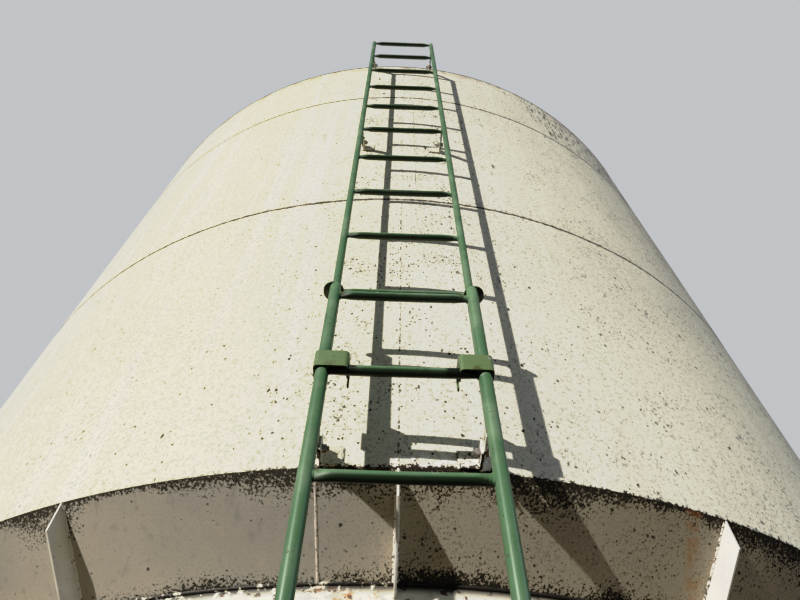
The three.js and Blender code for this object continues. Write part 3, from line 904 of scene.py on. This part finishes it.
# Ground ring: an angle rolled round the feet of the legs, its upright leg outside them, held down by
# anchor bolts between the legs. It is out of the photograph, muddy and rusted.
base_inner = ring_radius + fit_gap
base_outer = base_inner + angle_thickness
base_outline = [
    (base_outer - angle_leg - angle_thickness, 0.0),
    (base_outer, 0.0),
    (base_outer, angle_leg),
    (base_inner, angle_leg),
    (base_inner, angle_thickness),
    (base_outer - angle_leg - angle_thickness, angle_thickness),
]
ring = rolled_ring(base_outline, corner_round, 256)
put_piece("rolled_base_ring", [ring], "hopper_paint", leg_paint, "base_ring")


def bolt_head(centre, axis, across_flats, rise, washer_radius=0.0, washer=0.0, shank=0.0, shank_radius=0.0):
    """Hexagon head on a washer, with its shank's end standing out: rings of 24 points about the axis, where
    the radius at angle t is half the flats over the cosine of t's distance from the middle of its flat, and
    each ring lies at its height along the axis."""
    axis = np.asarray(axis, float)
    side = np.cross(axis, (0.31, 0.52, 0.80))
    side = side / np.linalg.norm(side)
    other = np.cross(axis, side)
    t = np.arange(24) * math.pi / 12
    flat = (t + math.pi / 6) % (math.pi / 3) - math.pi / 6
    hexagon = across_flats / 2 / np.cos(flat)
    round_edge = np.minimum(hexagon, across_flats / 2 * 1.04)
    top = washer + rise
    stations = [(0.0, np.full(24, washer_radius)), (washer, np.full(24, washer_radius))] if washer else []
    stations += [(washer, hexagon), (washer + rise * 0.86, hexagon), (top, round_edge * 0.93)]
    if shank:
        stations += [(top, np.full(24, shank_radius)), (top + shank, np.full(24, shank_radius))]
    around = np.cos(t)[:, None] * side + np.sin(t)[:, None] * other
    rings = [np.asarray(centre) + h * axis + r[:, None] * around for h, r in stations]
    return skin(np.stack(rings))


def bare_steel(name, colour, rust, metal):
    """Zinc coated steel, dull and spangled: rust is the share of it in rusty patches, metal from 0 to 1."""
    material, shader, place = new_material(name)
    spangle = joined("TexVoronoi", {"Vector": place, "Scale": 70.0}).outputs["Color"]
    spangle = joined("SeparateColor", {"Color": spangle}).outputs["Red"]
    dull = tuple(0.62 * c for c in colour[:3]) + (1,)
    shade = times_plus(spangle, 0.35, times(noise(place, 6.0, 4.0), 0.6))
    mixed = lay_over(shade, colour, dull)
    rusty = pattern(patches, place, Size=0.05, Cover=rust, Edge=0.08)
    mixed = lay_over(rusty, mixed, rust_brown)
    shader.id_data.links.new(times_plus(rusty, -metal, metal), shader.inputs["Metallic"])
    rough = times_plus(rusty, 0.35, times_plus(shade, 0.2, 0.36))
    coat(shader, mixed, rough, rusty, 0.7, distance=0.0004)
    return material


bolt_grey = (0.42, 0.42, 0.42, 1)
rusty_bolt = bare_steel("rusty_bolt", bolt_grey, rust=0.55, metal=0.7)
anchor_bolt = dict(
    across_flats=0.030,
    rise=0.016,
    washer_radius=0.022,
    washer=0.003,
    shank=0.022,
    shank_radius=0.010,
)
anchors = []
for i in range(leg_count):
    for step in (-7, 7):
        azimuth = 360 * (i + 0.5) / leg_count + step
        spot_at = (0, axis_y, angle_thickness) + (base_inner - 0.055) * outwards_at(azimuth)
        anchors.append(bolt_head(spot_at, (0, 0, 1), **anchor_bolt))
put_piece("anchor_bolts", anchors, "galvanised", rusty_bolt)

# Outlet: a rolled spout in the cone's mouth with a flange, and a slide gate in its frame bolted under it.
# All are galvanised sheet, out of the photograph, and their shapes are a plain guess.
spout_outer = outlet_radius - fit_gap
spout_wall = 0.006
spout_bottom = outlet_height - 0.1
flange_radius = 0.285
bolt_circle = 0.258
spout_outline = [
    (spout_outer - spout_wall, spout_bottom),
    (flange_radius, spout_bottom),
    (flange_radius, spout_bottom + spout_wall),
    (spout_outer, spout_bottom + spout_wall),
    (spout_outer, outlet_height + spout_wall),
    (spout_outer - spout_wall, outlet_height + spout_wall),
]
zinc_grey = (0.56, 0.58, 0.59, 1)
galvanised = bare_steel("galvanised_steel", zinc_grey, rust=0.18, metal=0.85)
spout = rolled_ring(spout_outline, 0.0012, 128)
put_piece("rolled_outlet_spout", [spout], "galvanised", galvanised, "outlet_spout")
for node in ("outlet_gate_frame", "outlet_gate_blade"):
    for material_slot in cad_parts[node].material_slots:
        material_slot.material = galvanised
small_bolt = dict(across_flats=0.019, washer_radius=0.012, washer=0.002)
flange_bolts = []
for azimuth in range(15, 375, 30):
    spot_at = (0, axis_y, spout_bottom + spout_wall) + bolt_circle * outwards_at(azimuth)
    flange_bolts.append(bolt_head(spot_at, (0, 0, 1), **small_bolt, rise=0.010))
put_piece("flange_bolts", flange_bolts, "galvanised", rusty_bolt)

# Roof: a cone of two welded half sheets over the eave, sprayed cream and left with dust and mould, with a
# fill neck at its peak and a pressed lid over that. It is out of the photograph and finished plainly.
roof_slope = math.radians(30)
roof_sheet = 0.004
roof_rows = 48
roof_bead = (0.005, 0.002)
neck_bead = (0.005, 0.003)
fill_radius = 0.300
eave = course_tops["upper"]
roof_foot = eave + fit_gap
peak_height = roof_foot + (bin_radius - fill_radius) * math.tan(roof_slope)
roof_paint = cream_paint("cream_roof_paint", mould=0.9, streaks=1.4, stain=0.6)


def roof_swell(a, z):
    """Slow ripples of about 2 mm round the roof, growing towards the middle of the slope."""
    part = (z - roof_foot) / (peak_height - roof_foot)
    return 0.002 * np.sin(9 * a + 0.6) * np.sin(math.pi * np.clip(part, 0, 1))


outline = sheet_outline(bin_radius, roof_foot, fill_radius, peak_height, roof_sheet, roof_rows)
outline[roof_rows + 1:] = np.linspace(
    (fill_radius, peak_height - roof_sheet / math.cos(roof_slope)),
    (bin_radius - roof_sheet / math.sin(roof_slope), roof_foot),
    roof_rows + 1,
)
two_sheets("roof", "roof", outline, 0, roof_swell, "cream_paint", roof_paint)

beads = []
for seam in (0, 180):
    reach = np.linspace(bin_radius - 0.01, fill_radius + 0.01, 260)
    height = roof_foot + (bin_radius - reach) * math.tan(roof_slope)
    reach = reach + roof_swell(math.radians(seam), height)
    line = at_azimuth(np.stack((reach, height), axis=-1), seam)
    off_roof = at_azimuth((math.sin(roof_slope), math.cos(roof_slope)), seam) - (0, axis_y, 0)
    beads.append(weld_bead(line, off_roof, across_at(seam), roof_bead))
neck_turn = np.linspace(0, 360, 256, endpoint=False)
line = level_circle(fill_radius, peak_height + 0.001, 256)
fillet = outwards_at(neck_turn) * 0.7 + (0, 0, 0.714)
cross = outwards_at(neck_turn) * 0.714 - (0, 0, 0.7)
beads.append(weld_bead(line, fillet, cross, neck_bead, loop=True))
put_piece("roof_welds", beads, "cream_paint", girth_weld)

neck_outer = fill_radius - fit_gap
neck_wall = 0.004
neck_top = peak_height + 0.14
neck_outline = [
    (neck_outer - neck_wall, peak_height - 0.03),
    (neck_outer, peak_height - 0.03),
    (neck_outer, neck_top),
    (neck_outer - neck_wall, neck_top),
]
neck = rolled_ring(neck_outline, 0.001, 128)
put_piece("rolled_fill_neck", [neck], "cream_paint", roof_paint, "fill_neck")

lid_inner = neck_outer + 0.004
lid_bottom = neck_top + fit_gap
lid_skirt = 0.060
lid_crown = 0.070
lid_sheet = 0.004


def pressed_lid():
    """Lid as one closed skin of revolution: from the middle of its flat under face out to the skirt, down it,
    round the rolled edge, up outside and over a crown that is a low dome with a soft shoulder."""
    outer = lid_inner + lid_sheet
    dome = np.linspace(0, math.pi / 2, 14)[1:-1]
    low = lid_bottom - lid_skirt
    shoulder = lid_bottom + lid_sheet
    crown = np.stack((outer * np.cos(dome) ** 0.85, shoulder + lid_crown * np.sin(dome)), axis=-1)
    outline = np.concatenate((
        [(0.02, lid_bottom), (lid_inner * 0.6, lid_bottom), (lid_inner, lid_bottom)],
        [(lid_inner, low + 0.001), (lid_inner + 0.001, low), (outer - 0.001, low), (outer, low + 0.001)],
        [(outer, lid_bottom), (outer, shoulder)],
        crown,
        [(0.02, shoulder + lid_crown * 0.999)],
    ))
    a = np.linspace(0, 2 * math.pi, 128, endpoint=False)
    r, z = outline.T
    rings = np.stack((r[:, None] * np.sin(a), axis_y - r[:, None] * np.cos(a), z[:, None] + 0 * a), axis=-1)
    return skin(rings)


put_piece("pressed_fill_lid", [pressed_lid()], "cream_paint", roof_paint, "fill_lid")

# Upper ladder: two rails and eleven rungs of one inch pipe, fixed off the wall by three pairs of clips.
# Each rung's ends are pinched flat on edge and welded to the rails, and the whole is brushed green.
rail_x = 0.2025
standoff_at_foot = 0.163
standoff_at_top = 0.189
upper_rail_radius = 0.0127
upper_rungs = 11
upper_pitch = 0.351
lowest_upper_rung = 2.795
upper_rail_bottom = 2.600
highest_upper_rung = lowest_upper_rung + (upper_rungs - 1) * upper_pitch
middle_at_foot = 0.006
middle_at_top = -0.005
clip_heights = {"low": 2.659, "middle": 4.770, "top": 6.350}
hook_middle = 2.760
hook_weld_aside = 0.181
hook_weld_foot = 2.754
hook_weld_top = 2.777


def part_up(z):
    """Share of the way up the upper rails at a height."""
    return (np.asarray(z, float) - upper_rail_bottom) / (highest_upper_rung - upper_rail_bottom)


def rail_y(z):
    """Y of the upper rails' centre line at a height: they lean out in a straight line from their foot."""
    return axis_y - bin_radius - standoff_at_foot - part_up(z) * (standoff_at_top - standoff_at_foot)


def middle_x(z):
    """X of the upper ladder's middle at a height: it leans a little to the left on its way up."""
    return middle_at_foot + part_up(z) * (middle_at_top - middle_at_foot)


def tube(centres, half_side, half_other, side, other, around=24):
    """Tube along a line of centres: at each station an ellipse, centre plus half_side cos t along side plus
    half_other sin t along other."""
    t = np.linspace(0, 2 * math.pi, around, endpoint=False)[None, :, None]
    half_side = np.broadcast_to(np.asarray(half_side, float), len(centres))[:, None, None]
    half_other = np.broadcast_to(np.asarray(half_other, float), len(centres))[:, None, None]
    return skin(
        centres[:, None, :]
        + half_side * np.cos(t) * np.asarray(side, float)
        + half_other * np.sin(t) * np.asarray(other, float)
    )


def eased(length, steps, ease):
    """Stations from 0 to length with three close together at each end, and the share of the full size at
    each, so that a tube's ends are rounded over by the ease."""
    inner = np.linspace(ease, length - ease, steps)
    along_it = np.concatenate(([0, 0.3 * ease], inner, [length - 0.3 * ease, length]))
    share = np.concatenate(([0.0, 0.7], np.ones(steps), [0.7, 0.0]))
    return along_it, share


def upright_rail(middle, line_y, aside, z0, z1, radius, steps):
    """Rail from z0 to z1, at X = middle(z) + aside and Y = line_y(z), with a low weld dome on each end."""
    ease = 0.003
    z, share = eased(z1 - z0, steps, ease)
    z = z + z0
    size = radius - ease * (1 - share)
    centres = np.stack((middle(z) + aside, line_y(z), z), axis=-1)
    return tube(centres, size, size, (1, 0, 0), (0, 1, 0))


def pinched_rung(middle, half, y, z, radius, sag=0.0, blade_tall=1.22, blade_deep=0.44, pinch=0.045):
    """Rung across the rails at (y, z), half its length to either side of its middle: round in the middle, and
    over the pinch length at each end it turns by a smooth step into an upright blade, blade_tall and
    blade_deep times the radius; sag bends it down by a half sine."""
    x = np.concatenate((
        np.linspace(-half, -half + 0.07, 14),
        np.linspace(-half + 0.08, half - 0.08, 17),
        np.linspace(half - 0.07, half, 14),
    ))
    part = np.clip((half - np.abs(x) - 0.012) / pinch, 0, 1)
    part = part * part * (3 - 2 * part)
    tall = radius * (blade_tall + (1 - blade_tall) * part)
    deep = radius * (blade_deep + (1 - blade_deep) * part)
    drop = sag * np.cos(np.pi * x / (2 * half))
    centres = np.stack((middle + x, np.full(len(x), float(y)), z - drop), axis=-1)
    return tube(centres, deep, tall, (0, 1, 0), (0, 0, 1))


def joint_weld(rail, side, y, z, rail_radius, tall, deep):
    """Weld round a rung's blade where it meets the rail at an x: a small torus whose line is the blade's
    outline laid on the rail, x = rail minus the root of radius squared less y squared."""
    t = np.linspace(0, 2 * math.pi, 24, endpoint=False)
    off_y = deep * np.cos(t)
    x = rail - side * np.sqrt(np.maximum(rail_radius ** 2 - off_y ** 2, 0))
    centres = np.stack((x, y + off_y, z + tall * np.sin(t)), axis=-1)
    inward = np.broadcast_to(np.array([-side, 0.0, 0.0]), centres.shape)
    away = np.stack((0 * t, np.cos(t), np.sin(t)), axis=-1)
    wavering = 1 + 0.25 * np.sin(3 * t + 40 * z)[:, None, None]
    u = np.linspace(0, 2 * math.pi, 7, endpoint=False)[None, :, None]
    ring = 0.0026 * wavering * (np.cos(u) * inward[:, None, :] + np.sin(u) * away[:, None, :])
    return skin(centres[:, None, :] + ring, loop=True)


green = (0.1, 0.212, 0.1, 1)
green_faded = (0.175, 0.285, 0.16, 1)
green_dark = (0.04, 0.095, 0.045, 1)
green_olive = (0.17, 0.25, 0.1, 1)
worn_grey = (0.40, 0.42, 0.36, 1)
rust_dark = (0.07, 0.038, 0.022, 1)
# Near black green: painted shade on the ladder's undersides and painted shadow below the hooks.
grime_and_shade = (0.012, 0.017, 0.011, 1)


def green_paint(name, wear, rust, olive=0.0, weld_rust=False):
    """Brushed green paint on pipe: faded and dark patches, scratches along the tubes, worn or rusty spots by
    how much of each is asked, from 0 to 1, dirty rung ends, and rust at the hooks' welds where asked.
    Without weld rust, the rung under the hooks is painted near black beside the rails: a painted shadow of
    the hooks. Faces turned down are painted near black everywhere: painted shade."""
    material, shader, place = new_material(name)
    sides = axes_of(place)
    faded = between(noise(place, 7.0, 4.0, 0.6), 0.42, 0.68)
    colour = lay_over(faded, green, green_faded)
    dark = pattern(patches, place, Size=0.06, Cover=0.32, Edge=0.14)
    colour = lay_over(times(dark, 0.55), colour, green_dark)
    along_rail = stretched(place, 260, 260, 9)
    scratch = between(noise(along_rail, 1.0, 2.0), 0.66, 0.74)
    colour = lay_over(times(scratch, 0.45), colour, green_faded)
    colour = lay_over(olive, colour, green_olive)
    chips = pattern(mould_spots, place, Spacing=0.014, Reach=0.28, Share=0.16)
    colour = lay_over(times(chips, 0.75), colour, green_dark)
    worn = pattern(patches, place, Size=0.035, Cover=0.3 * wear, Edge=0.05)
    colour = lay_over(times(worn, 0.8), colour, worn_grey)
    rusty = pattern(patches, place, Size=0.028, Cover=0.26 * rust, Edge=0.04)
    colour = lay_over(times(rusty, 0.85), colour, rust_dark)
    grimy = between(noise(place, 60.0, 3.0, 0.7), 0.36, 0.56)
    if weld_rust:
        aside = minus(unsigned(minus(sides["X"], middle_at_foot)), hook_weld_aside)
        aside = between(unsigned(aside), 0.02, 0.004)
        soiled = times(aside, between(sides["Z"], hook_weld_top, hook_weld_foot))
        colour = lay_over(times(times(soiled, grimy), 0.75), colour, rust_dark)
    else:
        from_rail = unsigned(minus(unsigned(sides["X"]), rail_x))
        rung_end = times(between(from_rail, 0.045, 0.03), between(from_rail, 0.023, 0.026))
        colour = lay_over(times(times(rung_end, grimy), 0.75), colour, rust_dark)
        # Painted shadow: beside each rail, the lower rung under the hooks is painted near black for the
        # hooks' shade.
        hook_shadow = unsigned(minus(sides["Z"], hook_middle))
        hook_shadow = times(between(hook_shadow, 0.022, 0.017), between(sides["Y"], -2.33, -2.35))
        behind = times(between(from_rail, 0.1, 0.085), between(from_rail, 0.018, 0.021))
        colour = lay_over(times(hook_shadow, behind), colour, grime_and_shade)
    # Painted shade: faces turned downwards are laid over with near black.
    facing = axes_of(add_node(shader.id_data, "NewGeometry").outputs["Normal"])["Z"]
    colour = lay_over(times(between(facing, 0.15, -0.45), 0.88), colour, grime_and_shade)
    rough = times_plus(rusty, 0.3, times_plus(faded, 0.14, 0.36))
    brushed = noise(stretched(place, 300, 300, 30), 1.0, 2.0)
    height = times_plus(brushed, 0.00012, times(worn, -0.00015))
    coat(shader, colour, rough, height, 0.7)
    return material


ladder_green = green_paint("ladder_green_paint", wear=0.5, rust=0.5)
shells = []
rail_ends = (upper_rail_bottom, highest_upper_rung + 0.015)
for side in (-1, 1):
    shells.append(upright_rail(middle_x, rail_y, side * rail_x, *rail_ends, upper_rail_radius, 60))
for i in range(upper_rungs):
    z = lowest_upper_rung + i * upper_pitch
    y = float(rail_y(z))
    middle = float(middle_x(z))
    shells.append(pinched_rung(middle, rail_x, y, z, upper_rail_radius, sag=0.0012))
    for side in (-1, 1):
        shells.append(joint_weld(middle + side * rail_x, side, y, z, upper_rail_radius, 0.0155, 0.0056))
put_piece("pipe_upper_ladder", shells, "green_paint", ladder_green, "upper_ladder")

# Ladder clips: short angles square to the ladder, their inner ends welded to the wall behind each rail and
# the wedge behind their outer ends filled with weld, and flat straps that are bolted to them and welded to
# the rails. The top pair of straps falls to the highest rung.
clip_width = 0.057
clip_thickness = 0.006
strap_height = 0.038


def plate(outline, place_of, side, other, thick, thickness, rounding=0.0008):
    """Plate of a closed outline of (side, other) points, carried along the thick direction; its first and
    last rings are drawn in by the rounding along each corner's two edge normals, so its rims are soft."""
    p = np.asarray(outline, float)
    if np.cross(p, np.roll(p, -1, 0)).sum() < 0:
        p = p[::-1]
    edges = np.roll(p, -1, 0) - p
    edges = edges / np.linalg.norm(edges, axis=1, keepdims=True)
    normals = np.stack((edges[:, 1], -edges[:, 0]), axis=-1)
    inset = p - rounding * (normals + np.roll(normals, 1, 0)) * 0.75
    stack = [(0, inset), (rounding, p), (thickness - rounding, p), (thickness, inset)]
    side, other, thick = (np.asarray(v, float) for v in (side, other, thick))
    rings = [place_of + q[:, :1] * side + q[:, 1:] * other + h * thick for h, q in stack]
    return skin(np.stack(rings))


clip_shells, strap_shells, bolt_shells, weld_shells, low_right_strap = [], [], [], [], []
outwards = np.array([0.0, -1.0, 0.0])
tangent = np.array([1.0, 0.0, 0.0])
for level, height in clip_heights.items():
    rise = highest_upper_rung - height if level == "top" else 0.0
    for side in (-1, 1):
        sideways = float(middle_x(height)) + side * rail_x
        out = axis_y - float(rail_y(height + rise))
        hub = np.array([0.0, axis_y, height])
        wall = math.sqrt(bin_radius ** 2 - (sideways - side * clip_width) ** 2)
        inner = -side
        angle_outline = softened([
            (sideways, wall),
            (sideways + inner * clip_width, wall),
            (sideways + inner * clip_width, wall + clip_thickness),
            (sideways + inner * clip_thickness, wall + clip_thickness),
            (sideways + inner * clip_thickness, wall + clip_width),
            (sideways, wall + clip_width),
        ], 0.0012)
        foot = hub - (0, 0, clip_width / 2)
        clip_shells.append(plate(angle_outline, foot, tangent, outwards, (0, 0, 1), clip_width))
        strap_foot = wall + 0.012
        run = np.array([out - strap_foot, rise])
        length = float(np.hypot(*run))
        along_strap = outwards * run[0] / length + np.array([0, 0, run[1] / length])
        up_strap = np.array([0, 0, run[0] / length]) - outwards * run[1] / length
        half = strap_height / 2
        strap_outline = softened([(0, -half), (length, -half), (length, half), (0, half)], 0.004)
        strap_side = sideways - side * 0.0005 + min(0, side) * clip_thickness
        strap_at = hub + strap_foot * outwards + strap_side * tangent
        strap = plate(strap_outline, strap_at, along_strap, up_strap, tangent, clip_thickness)
        (low_right_strap if level == "low" and side == 1 else strap_shells).append(strap)
        stations = np.linspace(-clip_width / 2, clip_width / 2, 24)[:, None] * np.array([0.0, 0.0, 1.0])
        for end, depth, bead, hand in (
            (sideways + side * 0.001, wall - 0.0025, (0.006, 0.003), side),
            (sideways - side * clip_width, wall + 0.002, (0.004, 0.003), -side),
        ):
            centres = hub + depth * outwards + end * tangent + stations
            leaning = (outwards + hand * tangent) / math.sqrt(2)
            spread = (tangent - hand * outwards) / math.sqrt(2)
            weld_shells.append(weld_bead(centres, leaning, spread, bead))
        bolt_out = wall + 0.032
        on_strap = hub + bolt_out * outwards + (sideways + side * clip_thickness) * tangent
        on_clip = hub + bolt_out * outwards + (sideways - side * clip_thickness) * tangent
        bolt_shells.append(bolt_head(on_strap, side * tangent, **small_bolt, rise=0.008))
        nut = bolt_head(on_clip, -side * tangent, **small_bolt, rise=0.010, shank=0.006, shank_radius=0.006)
        bolt_shells.append(nut)
clip_paint = cream_paint("cream_clip_paint", mould=1.6, streaks=1.0, stain=1.0)
strap_green = green_paint("strap_green_paint", wear=0.4, rust=1.8)
put_piece("wall_clips", clip_shells, "cream_paint", clip_paint)
put_piece("clip_welds", weld_shells, "cream_paint", upright_weld)
put_piece("rail_straps", strap_shells, "green_paint", strap_green)
put_piece("cream_low_strap", low_right_strap, "cream_paint", clip_paint)
put_piece("clip_bolts", bolt_shells, "galvanised", rusty_bolt)

# Lower ladder: thicker pipe rails in front of the upper ladder's, with rungs welded between them. Two
# round-ended ties at its top hold it to the upper rails, and it reaches down to a step off the ground.
lower_rail_radius = 0.0167
lower_rung_radius = 0.01335
lower_rungs = 9
lower_pitch = 0.325
highest_lower_rung = 3.085
lower_rail_bottom = 0.360
lower_rail_top = 3.132
lower_rail_x = 0.2005
ladder_spacing = 0.0313
lower_y = float(rail_y(lower_rail_top)) - ladder_spacing


def lower_middle(z):
    """X of the lower ladder's middle at heights: it stands upright."""
    return np.full(len(z), middle_at_foot)


def lower_line(z):
    """Y of the lower rails at heights: they stand upright."""
    return np.full(len(z), lower_y)


shells = []
rail_ends = (lower_rail_bottom, lower_rail_top)
for side in (-1, 1):
    aside = side * lower_rail_x
    shells.append(upright_rail(lower_middle, lower_line, aside, *rail_ends, lower_rail_radius, 40))
for i in range(lower_rungs):
    z = highest_lower_rung - i * lower_pitch
    shells.append(pinched_rung(middle_at_foot, lower_rail_x, lower_y, z, lower_rung_radius, sag=0.002))
    for side in (-1, 1):
        rail = middle_at_foot + side * lower_rail_x
        shells.append(joint_weld(rail, side, lower_y, z, lower_rail_radius, 0.0163, 0.0059))
put_piece("pipe_lower_ladder", shells, "green_paint", ladder_green, "lower_ladder")

tie_thickness = 0.006
tie_half = 0.030
tie_length = 0.008
tie_outward = 0.007
tie_front = lower_y - lower_rail_radius + tie_half
t = np.linspace(0, math.pi, 17)
half_round = tie_half * np.stack((np.cos(t), np.sin(t)), axis=-1)
tie_outline = np.concatenate((half_round + (0, tie_length), -half_round))
ties = []
for side in (-1, 1):
    tie_x = middle_at_foot + side * (lower_rail_x + tie_outward)
    tie_at = np.array([tie_x, tie_front, lower_rail_top - tie_thickness])
    ties.append(plate(tie_outline, tie_at, (1, 0, 0), (0, 1, 0), (0, 0, 1), tie_thickness))
put_piece("ladder_ties", ties, "green_paint", strap_green)

# Ladder hooks: a plate bent round both rails on each side, welded to the lower rails. The flange inside the
# rails is notched for the lower rung and ends in a hook over the lowest upper rung, and the lower middle of
# each plate has rusted at its weld.
hook_plate = 0.005
hook_inner = 0.1365
hook_outer = lower_rail_x + lower_rail_radius + fit_gap + hook_plate
hook_front = lower_y - lower_rail_radius - fit_gap - hook_plate
hook_depth = 0.067
hook_bottom = 2.750
hook_plate_top = 2.808
hook_leg = 0.013
hook_leg_bottom = 2.755
hook_top = 2.822
hook_slope = 0.035
hook_bend = 0.009
rung_clearance = 0.0006


def bent_strip(corners, thickness, bend):
    """Outline in plan of a strip bent at each inner corner of a line: the line is offset to either side by
    half the thickness, with each corner turned by an arc of the bend's radius about the inside."""
    left_side, right_side = [], []
    p = np.asarray(corners, float)
    for i, point in enumerate(p):
        if i in (0, len(p) - 1):
            run = (p[1] - p[0]) if i == 0 else (p[-1] - p[-2])
            run = run / np.linalg.norm(run)
            normal = np.array([-run[1], run[0]]) * thickness / 2
            left_side.append((point + normal)[None])
            right_side.append((point - normal)[None])
            continue
        back = (p[i - 1] - point) / np.linalg.norm(p[i - 1] - point)
        ahead = (p[i + 1] - point) / np.linalg.norm(p[i + 1] - point)
        centre = point + bend * (back + ahead)
        turn = np.linspace(0, 1, 7)[:, None]
        spokes = -ahead * np.cos(turn * math.pi / 2) - back * np.sin(turn * math.pi / 2)
        inside = centre + spokes * (bend - thickness / 2)
        outside = centre + spokes * (bend + thickness / 2)
        turns_left = back[0] * ahead[1] - back[1] * ahead[0] < 0
        left_side.append(inside if turns_left else outside)
        right_side.append(outside if turns_left else inside)
    return np.concatenate((*left_side, np.concatenate(right_side)[::-1]))


hook_green = green_paint("hook_green_paint", wear=0.5, rust=0.5, olive=0.8, weld_rust=True)
low_rung = highest_lower_rung - lower_pitch
cut_radius = lower_rung_radius + rung_clearance
reach_down = hook_bottom - low_rung
spread = math.atan2(reach_down, math.sqrt(cut_radius ** 2 - reach_down ** 2))
arc = np.linspace(math.pi - spread, spread, 17)
rung_cut = (lower_y, low_rung) + cut_radius * np.stack((np.cos(arc), np.sin(arc)), axis=-1)
rung_room = upper_rail_radius + rung_clearance
upper_y = float(rail_y(lowest_upper_rung))
arc = np.linspace(math.pi, 0, 11)
over_rung = (upper_y, lowest_upper_rung) + rung_room * np.stack((np.cos(arc), np.sin(arc)), axis=-1)
hook_back = upper_y + rung_room + hook_leg
slope_start = hook_front + hook_bend
slope_height = hook_plate_top + (hook_top - hook_plate_top) * hook_bend / hook_slope
flange_outline = np.concatenate((
    [(slope_start, hook_bottom)],
    rung_cut,
    [(upper_y - rung_room, hook_bottom)],
    over_rung,
    [(upper_y + rung_room, hook_leg_bottom + 0.003), (upper_y + rung_room + 0.003, hook_leg_bottom)],
    [(hook_back - 0.003, hook_leg_bottom), (hook_back, hook_leg_bottom + 0.003)],
    [(hook_back, hook_top - 0.005), (hook_back - 0.0015, hook_top - 0.0015), (hook_back - 0.005, hook_top)],
    [(hook_front + hook_slope, hook_top), (slope_start, slope_height)],
))
along_y = hook_front + np.array([0.012, hook_plate / 2, hook_plate / 2, hook_depth])
for side_name, side in (("left", -1), ("right", 1)):
    across = [hook_inner + hook_plate / 2, hook_inner + hook_plate / 2, hook_outer - hook_plate / 2]
    across = middle_at_foot + side * np.array([*across, across[-1]])
    strip = bent_strip(np.stack((across, along_y), axis=-1), hook_plate, hook_bend)
    strip_at = np.array([0, 0, hook_bottom])
    bent = plate(strip, strip_at, (1, 0, 0), (0, 1, 0), (0, 0, 1), hook_plate_top - hook_bottom)
    flange_at = np.array([middle_at_foot + side * hook_inner + min(0, side) * hook_plate, 0, 0])
    flange = plate(flange_outline, flange_at, (0, 1, 0), (0, 0, 1), (1, 0, 0), hook_plate)
    put_piece(f"bent_hook_{side_name}", [bent, flange], "green_paint", hook_green, f"ladder_hook_{side_name}")
